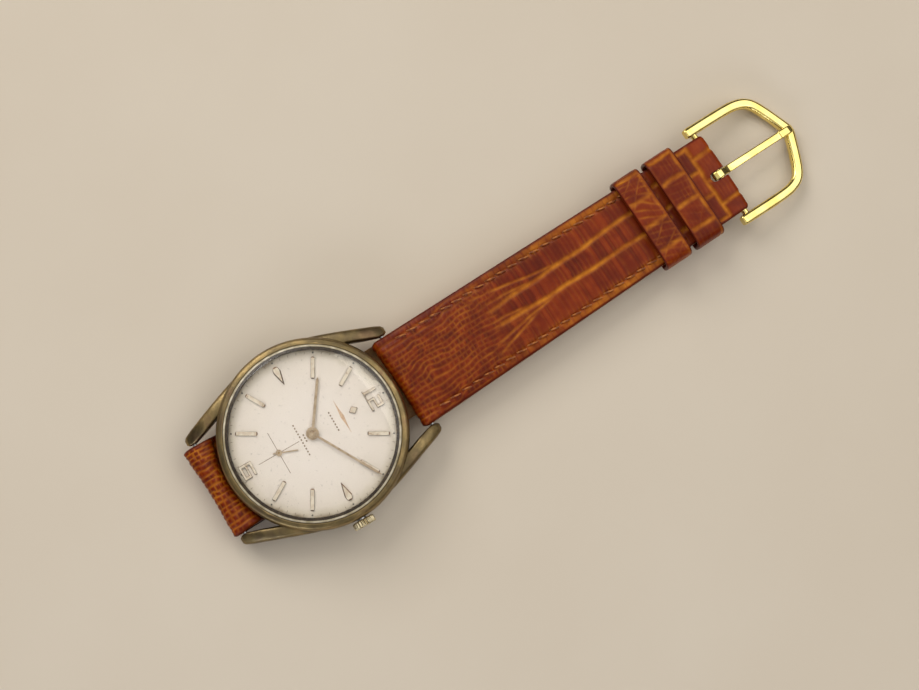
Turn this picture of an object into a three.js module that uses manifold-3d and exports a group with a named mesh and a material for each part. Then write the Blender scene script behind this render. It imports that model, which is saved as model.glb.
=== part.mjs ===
// Hand-wound wristwatch laid down on its own strap: the long strap half is folded under the head,
// and the buckle half lies on top of it. Units are millimetres.
// +Y runs from the hands' axis to 12 o'clock, +X to 3 o'clock (the crown), +Z up out of the dial.
// The origin is on the hands' axis, in the plane that the folded strap rests on.
import * as THREE from 'three';
import { mergeVertices } from 'three/addons/utils/BufferGeometryUtils.js';
import Module from 'manifold-3d';

const wasm = await Module();
wasm.setup();

// ---- heights of the head, counted from the resting plane ----
const BACK_Z = 3.0;             // outer face of the case back
const BACK_FLANGE = 0.7;        // thickness of the case back's flange
const CASE_LOW_Z = 3.75;        // lower face of the middle case
const CASE_TOP_Z = 8.66;        // face that the bezel sits on
const BRIDGE_Z = 4.75;          // outer face of the bridges
const BRIDGE_THICK = 0.6;
const PLATE_Z = 6.85;           // train side of the main plate
const PLATE_TOP_Z = 8.2;        // dial side of the main plate
const DIAL_Z = 8.3;
const DIAL_THICK = 0.35;
const MARKER_Z = 8.7;           // underside of the applied markers
const MARKER_THICK = 0.26;
const STEM_Z = 6.2;             // axis of crown and winding stem
const CRYSTAL_TOP_Z = 11.6;

// ---- radii of the head ----
const CASE_R = 17.7;
const BORE_R = 14.66;           // bore that the movement enters from behind
const DIAL_R = 15.7;
const DIAL_SEAT_R = 15.8;
const CRYSTAL_R = 16.2;
const BACK_R = 16.5;
const PLATE_R = 12.9;           // movement radius
const FIT = 0.06;               // clearance between still pieces that bear on each other
const RUN = 0.04;               // clearance of a turning fit

// ---- strap and buckle ----
const BAR_Y = 19.8;             // spring bars, each side of the hands' axis
const BAR_Z = 4.8;
const BAR_R = 0.7;
const BAR_PIN_R = 0.4;
const LUG_TIP_Y = 21.0;
const STRAP_HALF = 8.85;        // half width between the lugs
const STRAP_END_HALF = 7.95;    // half width at the buckle
const LOOP_R = 1.9;             // leather loop round a spring bar
const BUCKLE_HALF_SWING = 3.3;  // degrees that the leather leans sideways on its bar
const TAIL_THICK = 2.2;
const TAIL_LENGTH = 107.5;      // from the 6 o'clock bar to the tip
const TAIL_SWING = 2.1;
const KEEPER_HALF = 9.6;
const KEEPER_WALL = 0.95;
const KEEPER_Z = 2.45;
const KEEPER_TALL = 6.1;
const BUCKLE_REACH = 70.3;      // from the 12 o'clock bar to the buckle bar
const BUCKLE_BAR_R = 0.65;
const BUCKLE_TILT = 12.5;       // degrees that the buckle droops, front edge on the table
const FRAME_HALF_Z = 0.9;       // half thickness of the buckle frame

// ---- smoothness ----
const ROUND_HEAD = 48;          // sides of the large turned pieces
const ROUND_SMALL = 14;
const ROUND_TINY = 8;

// ---- surface colours ----
const FINISH = {
  wornPlate: { color: 0x8a7440, roughness: 0.38, metalness: 1.0 },
  gold: { color: 0xe6c566, roughness: 0.16, metalness: 1.0 },
  gilt: { color: 0xb98f4a, roughness: 0.25, metalness: 1.0 },
  nickel: { color: 0xb9b6ae, roughness: 0.3, metalness: 1.0 },
  wheelBrass: { color: 0xcda75a, roughness: 0.3, metalness: 1.0 },
  steel: { color: 0x9a9a9c, roughness: 0.25, metalness: 1.0 },
  blued: { color: 0x2a3558, roughness: 0.3, metalness: 1.0 },
  dial: { color: 0xe6dfd2, roughness: 0.45, metalness: 0.2 },
  acrylic: { color: 0xf6f4ee, roughness: 0.06, metalness: 0.0 },
  rubber: { color: 0x1c1b1a, roughness: 0.7, metalness: 0.0 },
  leather: { color: 0x8b4a28, roughness: 0.5, metalness: 0.0 },
};

const watch = new THREE.Group();
const deg = THREE.MathUtils.degToRad;
const polar = (r, a) => new THREE.Vector2(r * Math.cos(a), r * Math.sin(a));

// ---- solids: closed triangle meshes with outward faces ----
function closedMesh(geometry) {
  const plain = (geometry.index ? geometry.toNonIndexed() : geometry.clone());
  plain.deleteAttribute('normal');
  plain.deleteAttribute('uv');
  return mergeVertices(plain, 1e-4);
}

function signedVolume(vertices, triangles) {
  const corner = (i) => new THREE.Vector3().fromArray(vertices, 3 * i);
  let total = 0;
  for (let i = 0; i < triangles.length; i += 3) {
    const [a, b, c] = [0, 1, 2].map((j) => corner(triangles[i + j]));
    total += a.dot(b.cross(c)) / 6;
  }
  return total;
}

function solid(geometry) {
  const mesh = closedMesh(geometry);
  const vertProperties = Float32Array.from(mesh.attributes.position.array);
  let triVerts = [];
  for (let i = 0; i < mesh.index.count; i += 3) {
    const t = [0, 1, 2].map((j) => mesh.index.getX(i + j));
    if (t[0] !== t[1] && t[1] !== t[2] && t[2] !== t[0]) {
      triVerts.push(...t);
    }
  }
  if (signedVolume(vertProperties, triVerts) < 0) {
    triVerts = triVerts.reverse();
  }
  const data = { numProp: 3, vertProperties, triVerts: Uint32Array.from(triVerts) };
  return new wasm.Manifold(new wasm.Mesh(data));
}

function toGeometry(body) {
  const mesh = body.getMesh();
  const geometry = new THREE.BufferGeometry();
  const positions = [];
  for (let i = 0; i < mesh.vertProperties.length; i += mesh.numProp) {
    positions.push(...mesh.vertProperties.slice(i, i + 3));
  }
  geometry.setAttribute('position', new THREE.Float32BufferAttribute(positions, 3));
  geometry.setIndex(Array.from(mesh.triVerts));
  return geometry;
}

const joined = (first, ...rest) => rest.reduce((sum, body) => sum.add(body), first);
const cutBy = (first, ...rest) => rest.reduce((left, body) => left.subtract(body), first);

// A turned piece round the Z axis: profile is a list of [radius, height].
function turned(profile, sides = ROUND_HEAD, shut = true) {
  const points = profile.map(([r, z]) => new THREE.Vector2(r, z));
  if (shut && profile[0][0] > 0) {
    points.push(points[0].clone());
  }
  return solid(new THREE.LatheGeometry(points, sides).rotateX(Math.PI / 2));
}

// The same piece with its axis along X, from x = 0 outwards, at a given height.
function turnedX(profile, z, sides = ROUND_SMALL) {
  const points = profile.map(([r, x]) => new THREE.Vector2(r, x));
  if (profile[0][0] > 0) {
    points.push(points[0].clone());
  }
  const geometry = new THREE.LatheGeometry(points, sides).rotateZ(-Math.PI / 2);
  return solid(geometry.translate(0, 0, z));
}

// A straight prism on a plan outline, from one height to another.
function prism(outline, low, high, holes = []) {
  const shape = new THREE.Shape(outline);
  shape.holes = holes.map((hole) => new THREE.Path(hole));
  const geometry = new THREE.ExtrudeGeometry(shape, { depth: high - low, bevelEnabled: false });
  return solid(geometry.translate(0, 0, low));
}

// A prism on a side outline of [y, z] points, from x = -half to x = half.
function sideways(outline, half) {
  const shape = new THREE.Shape(outline.map(([y, z]) => new THREE.Vector2(y, z)));
  const geometry = new THREE.ExtrudeGeometry(shape, { depth: 2 * half, bevelEnabled: false });
  geometry.translate(0, 0, -half);
  return solid(geometry.rotateX(Math.PI / 2).rotateZ(Math.PI / 2));
}

const vectors = (pairs) => pairs.map(([x, y]) => new THREE.Vector2(x, y));
const ring = (r, sides) => Array.from({ length: sides }, (_, i) => polar(r, 2 * Math.PI * i / sides));
const drill = (x, y, r, low, high) => prism(ring(r, ROUND_TINY), low, high).translate([x, y, 0]);
const crossPin = (half, r, y, z) => sideways(ring(r, ROUND_SMALL).map((p) => [y + p.x, z + p.y]), half);

function add(name, finish, body, parent = watch) {
  const look = new THREE.MeshStandardMaterial(FINISH[finish]);
  const mesh = new THREE.Mesh(body.isBufferGeometry ? body : toGeometry(body), look);
  mesh.name = name;
  parent.add(mesh);
  return mesh;
}

// ---- middle case with its four lugs ----
const LUG_PLAN = [[9.6, 11], [11.3, 13.6], [9.35, 19.4], [9.4, 20.5], [10.2, LUG_TIP_Y], [11.1, 20.8],
  [11.8, 19.4], [14.7, 11.6], [16.2, 6.6], [12, 6]];
const LUG_SIDE = [[6, 4.2], [12, 3.9], [17.5, 3.55], [20, 3.5], [20.9, 3.9], [21.1, 4.6], [20.6, 5.5],
  [19, 6.5], [16.5, 7.5], [13.5, 8.0], [6, 8.1]];
const caseSkin = [[0, CASE_LOW_Z], [BACK_R + 0.1, CASE_LOW_Z], [17.3, 4.3], [CASE_R, 5],
  [CASE_R, 8.1], [17.45, CASE_TOP_Z], [0, CASE_TOP_Z]];
const caseHollow = [[0, CASE_LOW_Z - 1], [15.5, CASE_LOW_Z - 1], [15.5, 4.35], [BORE_R, 4.35],
  [BORE_R, PLATE_TOP_Z + FIT], [DIAL_SEAT_R, PLATE_TOP_Z + FIT], [DIAL_SEAT_R, CASE_TOP_Z + 1],
  [0, CASE_TOP_Z + 1]];
const lug = prism(vectors(LUG_PLAN), CASE_LOW_Z - 1, CASE_TOP_Z).intersect(sideways(LUG_SIDE, CASE_R));
const TUBE_R = 1.0;
const caseMade = cutBy(
  joined(turned(caseSkin), lug, lug.mirror([1, 0, 0]), lug.mirror([0, 1, 0]),
    lug.mirror([1, 0, 0]).mirror([0, 1, 0])),
  turned(caseHollow),
  turnedX([[0, BORE_R - 2], [TUBE_R + FIT, BORE_R - 2], [TUBE_R + FIT, 20], [0, 20]], STEM_Z),
  crossPin(10.4, BAR_PIN_R + FIT, BAR_Y, BAR_Z),
  crossPin(10.4, BAR_PIN_R + FIT, -BAR_Y, BAR_Z),
);
add('mid_case', 'wornPlate', caseMade);

// ---- bezel, crystal, case back and its gasket ----
add('bezel', 'wornPlate', turned([[CRYSTAL_R + FIT, CASE_TOP_Z + FIT], [17.4, CASE_TOP_Z + FIT],
  [17.45, 9.2], [17.2, 9.55], [16.5, 9.75], [CRYSTAL_R + FIT, 9.7]]));

function domePoints(rimR, rimZ, topZ, steps) {
  const curve = new THREE.QuadraticBezierCurve(new THREE.Vector2(rimR, rimZ),
    new THREE.Vector2(rimR * 0.62, topZ), new THREE.Vector2(0, topZ));
  return curve.getPoints(steps).map((p) => [p.x, p.y]);
}

const CRYSTAL_THICK = 0.85;
const domeOuter = domePoints(CRYSTAL_R - 0.15, 10.15, CRYSTAL_TOP_Z, 5);
const domeInner = domePoints(CRYSTAL_R - 1.0, 9.4, CRYSTAL_TOP_Z - CRYSTAL_THICK, 3).reverse();
add('crystal', 'acrylic', turned([...domeInner, [CRYSTAL_R - 1.0, CASE_TOP_Z + FIT],
  [CRYSTAL_R, CASE_TOP_Z + FIT], [CRYSTAL_R, 10.0], ...domeOuter], ROUND_HEAD, false));
add('case_back', 'steel', turned([[0, BACK_Z], [13.6, BACK_Z], [BACK_R - 0.3, BACK_Z + 0.2],
  [BACK_R, BACK_Z + 0.4], [BACK_R, BACK_Z + BACK_FLANGE], [BORE_R - FIT, BACK_Z + BACK_FLANGE],
  [BORE_R - FIT, 4.9], [13.9, 4.9], [13.6, BACK_Z + 0.5], [0, BACK_Z + 0.5]]));
add('case_back_gasket', 'rubber', turned([[14.75, 3.78], [15.35, 3.78], [15.3, 4.25], [14.8, 4.25]],
  32));

// ---- crown, stem, tube and crown gasket, all turned along X ----
const CROWN_R = 2.15;
const CROWN_IN = 17.95;
const CROWN_OUT = 19.35;
const CROWN_RECESS = 18.75;      // depth of the room for tube and gasket
const STEM_END = 19.05;
const STEM_R = 0.55;
const FLUTES = 18;
const flutes = Array.from({ length: FLUTES }, (_, i) => {
  const [x, y] = polar(CROWN_R + 0.12, 2 * Math.PI * i / FLUTES).toArray();
  return turnedX([[0, CROWN_IN - 1], [0.26, CROWN_IN - 1], [0.26, CROWN_OUT - 0.25],
    [0, CROWN_OUT - 0.05]], 0, 5).translate([0, x, y + STEM_Z]);
});
const crownBlank = turnedX([[0, CROWN_IN], [CROWN_R - 0.15, CROWN_IN], [CROWN_R, CROWN_IN + 0.2],
  [CROWN_R, CROWN_OUT - 0.4], [CROWN_R - 0.4, CROWN_OUT - 0.08], [0, CROWN_OUT]], STEM_Z, 36);
add('crown', 'gilt', cutBy(crownBlank, ...flutes,
  turnedX([[0, CROWN_IN - 1], [1.5, CROWN_IN - 1], [1.5, CROWN_RECESS], [STEM_R + RUN, CROWN_RECESS],
    [STEM_R + RUN, STEM_END + 0.05], [0, STEM_END + 0.05]], STEM_Z)));
add('winding_stem', 'steel', turnedX([[0, 8.2], [0.3, 8.2], [0.3, 9.0], [STEM_R, 9.0],
  [STEM_R, 13.4], [0.45, 13.5], [0.45, 18.2], [STEM_R, 18.3], [STEM_R, STEM_END],
  [0, STEM_END]], STEM_Z, 14));
add('crown_tube', 'steel', turnedX([[0.62, 14.8], [TUBE_R, 14.8], [TUBE_R, 18.6], [0.62, 18.6]],
  STEM_Z));
add('crown_gasket', 'rubber', turnedX([[1.08, 18.05], [1.44, 18.05], [1.44, 18.4], [1.08, 18.4]],
  STEM_Z));

// ---- spring bars ----
for (const [name, side] of [['spring_bar_12', 1], ['spring_bar_6', -1]]) {
  add(name, 'steel', joined(crossPin(8.75, BAR_R, side * BAR_Y, BAR_Z),
    crossPin(10.2, BAR_PIN_R, side * BAR_Y, BAR_Z)));
}

// ---- toothed wheels ----
// Straight-flanked teeth on a pitch circle of teeth x module; turn is the angle of the first tooth.
function toothed(teeth, module, turn = 0) {
  const pitch = 2 * Math.PI / teeth;
  const pitchR = teeth * module / 2;
  const [root, tip] = [pitchR - 1.15 * module, pitchR + 0.9 * module];
  const outline = [];
  for (let i = 0; i < teeth; i++) {
    for (const [r, share] of [[root, -0.5], [tip, -0.12], [tip, 0.12]]) {
      outline.push(polar(r, turn + (i + share) * pitch));
    }
  }
  return outline;
}

// Windows between a wheel's arms.
function windows(arms, hubR, rimR, armHalf) {
  return Array.from({ length: arms }, (_, i) => {
    const middle = 2 * Math.PI * (i + 0.5) / arms;
    const reach = Math.PI / arms;
    const at = (r, side) => polar(r, middle + side * (reach - armHalf / r));
    return [at(hubR, -1), at(rimR, -1), polar(rimR, middle), at(rimR, 1), at(hubR, 1)];
  });
}

// The turn that puts a driven wheel's gap against the driver's tooth on the line of centres.
function meshTurn(driver, driven) {
  const line = Math.atan2(driven.y - driver.y, driven.x - driver.x);
  const offset = (driver.turn ?? 0) - line;
  return line + Math.PI - offset * driver.teeth / driven.teeth - Math.PI / driven.teeth;
}

const rod = (r, low, high) => turned([[0, low], [r, low], [r, high], [0, high]], ROUND_TINY);

// ---- going train: each wheel is {x, y, teeth} with the level of its teeth ----
const LEVEL_LOW = 5.5;          // centre wheel
const LEVEL_FOURTH = 5.74;
const LEVEL_THIRD = 5.95;
const LEVEL_ESCAPE = 6.35;
const PIVOT_LOW = 5.4;            // wheel pivots run from the bridges to the main plate
const PIVOT_HIGH = 6.8;
const WHEEL_THICK = 0.14;
const centre = { x: 0, y: 0, teeth: 64, turn: 0 };
const centrePinion = { x: 0, y: 0, teeth: 10, turn: 0 };
const barrel = { x: 3.045, y: 5.274, teeth: 60 };
const third = { x: -2.97, y: -3.96, teeth: 8 };
const thirdWheel = { x: third.x, y: third.y, teeth: 60, turn: 0 };
const fourth = { x: 0, y: -7, teeth: 8 };
const fourthWheel = { x: fourth.x, y: fourth.y, teeth: 70, turn: 0 };
const escape = { x: 3.306, y: -9.18, teeth: 7 };
// The module that lets two wheels on these centres mesh.
const moduleOf = (a, b) => 2 * Math.hypot(a.x - b.x, a.y - b.y) / (a.teeth + b.teeth);
const TRAIN_MODULE = moduleOf(centre, third);
const BARREL_MODULE = moduleOf(centrePinion, barrel);
const THIRD_MODULE = moduleOf(thirdWheel, fourth);
const ESCAPE_MODULE = moduleOf(fourthWheel, escape);
const balance = { x: 6.9, y: -5.4 };
for (const [driver, driven] of [[centre, third], [centrePinion, barrel], [thirdWheel, fourth],
  [fourthWheel, escape]]) {
  driven.turn = meshTurn(driver, driven);
}

function wheel(spec, module, level, arms = 5) {
  const rim = spec.teeth * module / 2 - 2.6 * module;
  return prism(toothed(spec.teeth, module, spec.turn), level, level + WHEEL_THICK,
    windows(arms, rim * 0.3, rim, 0.16));
}

const pinion = (spec, module, low, high) => prism(toothed(spec.teeth, module, spec.turn), low, high);
const placed = (body, spec) => body.translate([spec.x, spec.y, 0]);

add('centre_wheel', 'wheelBrass', joined(wheel(centre, TRAIN_MODULE, LEVEL_LOW),
  pinion(centrePinion, BARREL_MODULE, 6.0, 6.75), rod(0.3, 5.4, 8.4), rod(0.7, LEVEL_LOW, 6.1)));
add('third_wheel', 'wheelBrass', placed(joined(wheel(thirdWheel, THIRD_MODULE, LEVEL_THIRD),
  pinion(third, TRAIN_MODULE, 5.42, 5.68), rod(0.2, PIVOT_LOW, PIVOT_HIGH)), third));
add('fourth_wheel', 'wheelBrass', placed(joined(wheel(fourthWheel, ESCAPE_MODULE, LEVEL_FOURTH),
  pinion(fourth, THIRD_MODULE, 5.86, 6.25), rod(0.22, 5.4, 7.2), rod(0.12, 5.6, 8.95)), fourth));

const ESCAPE_R = 1.9;
const hooks = Array.from({ length: 15 }, (_, i) => {
  const a = 2 * Math.PI * i / 15;
  return [polar(ESCAPE_R - 0.45, a), polar(ESCAPE_R, a + 0.16), polar(ESCAPE_R - 0.4, a + 0.14)];
}).flat();
add('escape_wheel', 'steel', placed(joined(
  prism(hooks, LEVEL_ESCAPE, LEVEL_ESCAPE + 0.12, windows(3, 0.45, 1.2, 0.12)),
  pinion(escape, ESCAPE_MODULE, 5.68, 5.92), rod(0.2, PIVOT_LOW, PIVOT_HIGH)), escape));

// ---- barrel: toothed drum open towards the bridge, its cover, arbor and mainspring ----
const DRUM_R = 4.9;
const DRUM_LOW = 5.72;
add('mainspring_barrel', 'wheelBrass', placed(cutBy(
  joined(prism(toothed(barrel.teeth, BARREL_MODULE, barrel.turn), 6.55, 6.75),
    turned([[0, DRUM_LOW], [DRUM_R, DRUM_LOW], [DRUM_R, 6.6], [0, 6.6]], 28)),
  turned([[0, DRUM_LOW - 1], [DRUM_R - 0.3, DRUM_LOW - 1], [DRUM_R - 0.3, 6.5], [0, 6.5]], 28),
  rod(0.6 + RUN, 6, 7)), barrel));
add('barrel_cover', 'wheelBrass', placed(turned([[0.6 + RUN, DRUM_LOW], [DRUM_R - 0.3 - RUN, DRUM_LOW],
  [DRUM_R - 0.3 - RUN, DRUM_LOW + 0.12], [0.6 + RUN, DRUM_LOW + 0.12]], 28), barrel));
add('barrel_arbor', 'steel', placed(joined(rod(0.6, PIVOT_LOW, PIVOT_HIGH), rod(1.1, 5.95, 6.4),
  rod(0.35, 4.2, 5.5)), barrel));

// A flat coil: a strip wound from one radius to another.
function coil(innerR, outerR, turns, thick, low, high, perTurn) {
  const count = Math.round(turns * perTurn);
  const at = (i, side) => polar(innerR + (outerR - innerR) * i / count + side * thick / 2,
    2 * Math.PI * i / perTurn);
  const steps = Array.from({ length: count + 1 }, (_, i) => i);
  const outline = [...steps.map((i) => at(i, 1)), ...steps.reverse().map((i) => at(i, -1))];
  return prism(outline, low, high);
}

add('mainspring', 'steel', placed(coil(1.4, 4.35, 5, 0.16, 5.95, 6.4, 12), barrel));

// ---- ratchet wheel, crown wheel, click and winding pinion ----
const WIND_Z = 4.3;
const WIND_THICK = 0.32;
const ratchet = { x: barrel.x, y: barrel.y, teeth: 40, turn: 0 };
const crownWheel = { x: 7.1, y: 0, teeth: 22 };
const WIND_MODULE = moduleOf(ratchet, crownWheel);
crownWheel.turn = meshTurn(ratchet, crownWheel);
for (const [name, spec, boreR] of [['ratchet_wheel', ratchet, 0.35 + RUN],
  ['crown_wheel', crownWheel, 0.5]]) {
  const outline = toothed(spec.teeth, WIND_MODULE, spec.turn);
  add(name, 'steel', placed(prism(outline, WIND_Z, WIND_Z + WIND_THICK, [ring(boreR, ROUND_TINY)]), spec));
}
const CLICK_SPOT = { x: barrel.x - 5.6, y: barrel.y + 0.6 };
const CLICK = [[-0.5, -0.5], [0.5, -0.45], [1.1, -0.1], [1.1, 0.12], [0.4, 0.5], [-0.5, 0.5]];
add('click', 'steel', placed(prism(vectors(CLICK), WIND_Z, WIND_Z + WIND_THICK, [ring(0.2, 8)]),
  CLICK_SPOT));

const WINDING_PINION_X = 9.54;
const PINION_TEETH = 14;
const pinionBlank = prism(toothed(PINION_TEETH, WIND_MODULE, Math.PI / PINION_TEETH), 0, 0.9,
  [ring(STEM_R + RUN + 0.03, ROUND_SMALL)]);
add('winding_pinion', 'steel', pinionBlank.rotate([0, 90, 0])
  .translate([WINDING_PINION_X, 0, STEM_Z]));

// ---- balance, hairspring and pallet fork ----
const BALANCE_R = 3.7;
const BALANCE_Z = 5.98;
add('balance_wheel', 'gilt', placed(joined(
  prism(ring(BALANCE_R, 32), BALANCE_Z, BALANCE_Z + 0.22, windows(2, 0.6, BALANCE_R - 0.4, 0.2)),
  rod(0.42, 6.3, 6.5), rod(0.16, PIVOT_LOW, PIVOT_HIGH), rod(0.3, BALANCE_Z, 6.4)), balance));
add('hairspring', 'blued', placed(coil(0.45, 1.9, 5, 0.06, 5.6, 5.74, 12), balance));

const toBalance = Math.atan2(balance.y - escape.y, balance.x - escape.x);
const palletSpot = polar(2.55, toBalance);
const pallet = { x: escape.x + palletSpot.x, y: escape.y + palletSpot.y };
const FORK = [[-0.35, -0.3], [-0.35, -1.15], [-1.0, -1.75], [-1.22, -1.62], [-0.75, -1.05],
  [-0.72, 0], [-0.75, 1.05], [-1.22, 1.62], [-1.0, 1.75], [-0.35, 1.15], [-0.35, 0.3], [1.5, 0.12],
  [2.1, 0.32], [2.1, 0.18], [1.75, 0], [2.1, -0.18], [2.1, -0.32], [1.5, -0.12]];
add('pallet_fork', 'steel', placed(joined(prism(vectors(FORK), LEVEL_ESCAPE, LEVEL_ESCAPE + 0.12),
  rod(0.28, LEVEL_ESCAPE, LEVEL_ESCAPE + 0.12), rod(0.14, 6.28, 6.8))
  .rotate([0, 0, THREE.MathUtils.radToDeg(toBalance)]), pallet));

// ---- main plate, bridges, cock and movement ring ----
const stemChannel = turnedX([[0, 8.9], [1.8, 8.9], [1.8, 10.5], [0.8, 10.5], [0.8, 16], [0, 16]],
  STEM_Z);
const stemPivot = turnedX([[0, 7.9], [0.4, 7.9], [0.4, 9], [STEM_R + RUN, 9], [0, 9.5]], STEM_Z);
add('mainplate', 'nickel', cutBy(
  turned([[0, PLATE_Z], [PLATE_R, PLATE_Z], [PLATE_R, PLATE_TOP_Z], [0, PLATE_TOP_Z]]),
  drill(0, 0, 4.75, 7.4, PLATE_TOP_Z + 1), drill(0, 0, 0.3 + RUN + 0.03, PLATE_Z - 1, 8),
  drill(fourth.x, fourth.y, 0.3, PLATE_Z - 1, 9), stemChannel, stemPivot));

// A bridge is a plan outline, cut from one thickness, on round feet that reach the main plate.
function bridge(outline, feet, cuts = []) {
  const high = BRIDGE_Z + BRIDGE_THICK;
  const posts = feet.map(([x, y, r]) => drill(x, y, r, BRIDGE_Z + 0.2, PLATE_Z - FIT));
  return cutBy(joined(prism(vectors(outline), BRIDGE_Z, high), ...posts), ...cuts);
}

const arbor = (spec, r) => drill(spec.x, spec.y, r, BRIDGE_Z - 1, 5.5);
add('barrel_bridge', 'nickel', bridge(
  [[-11.2, 5.6], [-3.2, 1.7], [3.4, 1.6], [5.4, -1.4], [8.6, -1.4], [9.2, 2.0], [12.1, 2.2],
    [10.6, 6.4], [6.6, 10.4], [0, 12.2], [-6.4, 10.5]],
  [[-9.6, 6.4, 0.9], [10.9, 3.9, 0.8]], [arbor(barrel, 0.5), stemChannel]));
add('train_bridge', 'nickel', bridge(
  [[-11.6, 4.4], [-3.4, 0.9], [0.8, 1.3], [2.2, -4.6], [2.0, -7.6], [5.2, -9.2], [5.6, -11],
    [0, -12.3], [-6.6, -10.4], [-10.6, -6.4], [-12.3, 0]],
  [[-9.8, 0.8, 0.9], [-4.4, -10.2, 0.9], [4.9, -11, 0.45]]));
add('balance_cock', 'nickel', bridge(
  [[5.9, -4.4], [8.1, -4.2], [11.6, -3.4], [12.2, -3.6], [9.6, -8.2], [7.4, -7.2], [5.9, -6.5]],
  [[11.35, -5.35, 0.32]]));
add('movement_ring', 'nickel', cutBy(turned([[PLATE_R + FIT, 5.1], [BORE_R - FIT, 5.1],
  [BORE_R - FIT, PLATE_TOP_Z], [PLATE_R + FIT, PLATE_TOP_Z]], 36), stemChannel));

// ---- motion work under the dial: cannon pinion, minute wheel, hour wheel ----
const MOTION_GAP = 2.5;
const CANNON_MODULE = 2 * MOTION_GAP / (12 + 36);
const HOUR_MODULE = 2 * MOTION_GAP / (10 + 40);
const cannon = { x: 0, y: 0, teeth: 12, turn: 0 };
const minuteWheel = { x: MOTION_GAP, y: 0, teeth: 36 };
minuteWheel.turn = meshTurn(cannon, minuteWheel);
const minutePinion = { x: MOTION_GAP, y: 0, teeth: 10, turn: 0 };
const hourWheel = { x: 0, y: 0, teeth: 40 };
hourWheel.turn = meshTurn(minutePinion, hourWheel);
add('cannon_pinion', 'steel', cutBy(joined(
  pinion(cannon, CANNON_MODULE, 7.48, 7.9), rod(0.5, 7.5, 9.58)), rod(0.3 + RUN, 7, 8.5)));
add('minute_wheel', 'wheelBrass', placed(cutBy(joined(
  prism(toothed(36, CANNON_MODULE, minuteWheel.turn), 7.5, 7.65),
  prism(toothed(10, HOUR_MODULE, 0), 7.6, 8.15)), rod(0.15, 7, 9)), minuteWheel));
add('hour_wheel', 'wheelBrass', cutBy(joined(
  prism(toothed(40, HOUR_MODULE, hourWheel.turn), 7.97, 8.13),
  turned([[0, 7.97], [0.85, 7.97], [0.85, 9.2], [0, 9.2]], ROUND_SMALL)), rod(0.5 + RUN, 7, 10)));

// ---- dial and applied markers ----
add('dial', 'dial', cutBy(turned([[0, DIAL_Z], [DIAL_R, DIAL_Z], [DIAL_R, DIAL_Z + DIAL_THICK],
  [0, DIAL_Z + DIAL_THICK]]), drill(0, 0, 1.0, DIAL_Z - 1, 10), drill(0, -7, 0.3, DIAL_Z - 1, 10)));

const MARKER_IN = 9.95;
const MARKER_OUT = 14.0;
const MARKER_HALF = 0.375;
const marker = (outline) => prism(vectors(outline), MARKER_Z, MARKER_Z + MARKER_THICK);
for (const hour of [1, 2, 4, 5, 7, 8, 10, 11]) {
  const baton = marker([[-MARKER_HALF, MARKER_IN], [MARKER_HALF, MARKER_IN],
    [MARKER_HALF, MARKER_OUT], [-MARKER_HALF, MARKER_OUT]]);
  add(`index_${String(hour).padStart(2, '0')}`, 'gilt', baton.rotate([0, 0, -30 * hour]));
}
for (const hour of [3, 9]) {
  const dart = marker([[0, 10.1], [0.7, 12.9], [0.45, 13.9], [-0.45, 13.9], [-0.7, 12.9]]);
  add(`index_${String(hour).padStart(2, '0')}`, 'gilt', dart.rotate([0, 0, -30 * hour]));
}

// Numerals: strokes with a gap between the two figures of the 12 bridged by a thin serif bar.
const stroke = (x0, y0, x1, y1) => marker([[x0, y0], [x1, y0], [x1, y1], [x0, y1]]);
const BRIDGED_TWELVE = [
  stroke(-1.75, 11.4, -1.2, 14), stroke(-2.1, 11.4, 2.1, 11.62), stroke(-0.2, 13.5, 1.9, 14),
  stroke(1.4, 12.5, 1.9, 14), stroke(-0.2, 12.5, 1.9, 12.95), stroke(-0.2, 11.4, 0.3, 12.95),
  stroke(-0.2, 11.4, 2.0, 11.85),
];
add('numeral_12', 'gilt', joined(...BRIDGED_TWELVE));
const SIX_TOP = -12.2;
const SIX_LOW = -14.7;
const SIX_STROKES = [
  stroke(-1.4, SIX_LOW, -0.85, SIX_TOP), stroke(-1.4, SIX_TOP - 0.5, 1.3, SIX_TOP),
  stroke(-1.4, SIX_LOW, 1.4, SIX_LOW + 0.5), stroke(0.85, SIX_LOW, 1.4, -13.2),
  stroke(-1.4, -13.65, 1.4, -13.2),
];
add('numeral_6', 'gilt', joined(...SIX_STROKES));
add('dial_lozenge', 'gilt', marker([[0, 7.6], [0.75, 8.5], [0, 9.4], [-0.75, 8.5]]));

// ---- hands, set at ten past ten ----
const HOUR_ANGLE = 305;
const MINUTE_ANGLE = 60.7;
const SECOND_ANGLE = 21;

function hand(hubR, boreR, length, half, tail, low, thick) {
  const hub = turned([[boreR, low], [hubR, low], [hubR, low + thick], [boreR, low + thick]],
    ROUND_SMALL);
  const blade = prism(vectors([[-half, -tail], [half, -tail], [half, length * 0.93], [0, length],
    [-half, length * 0.93]]), low, low + thick);
  const bore = prism(ring(boreR, ROUND_SMALL), low - 1, low + 1);
  return cutBy(joined(hub, blade), bore);
}

add('hour_hand', 'gilt', hand(1.2, 0.85 + RUN, 10.4, 0.25, 0, 9.05, 0.12)
  .rotate([0, 0, -HOUR_ANGLE]));
add('minute_hand', 'gilt', hand(0.85, 0.5 + RUN, 14.8, 0.2, 0, 9.4, 0.1)
  .rotate([0, 0, -MINUTE_ANGLE]));
add('seconds_hand', 'gilt', placed(hand(0.6, 0.12 + RUN, 3.6, 0.11, 1.1, 8.78, 0.1)
  .rotate([0, 0, -SECOND_ANGLE]), fourth));

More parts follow.
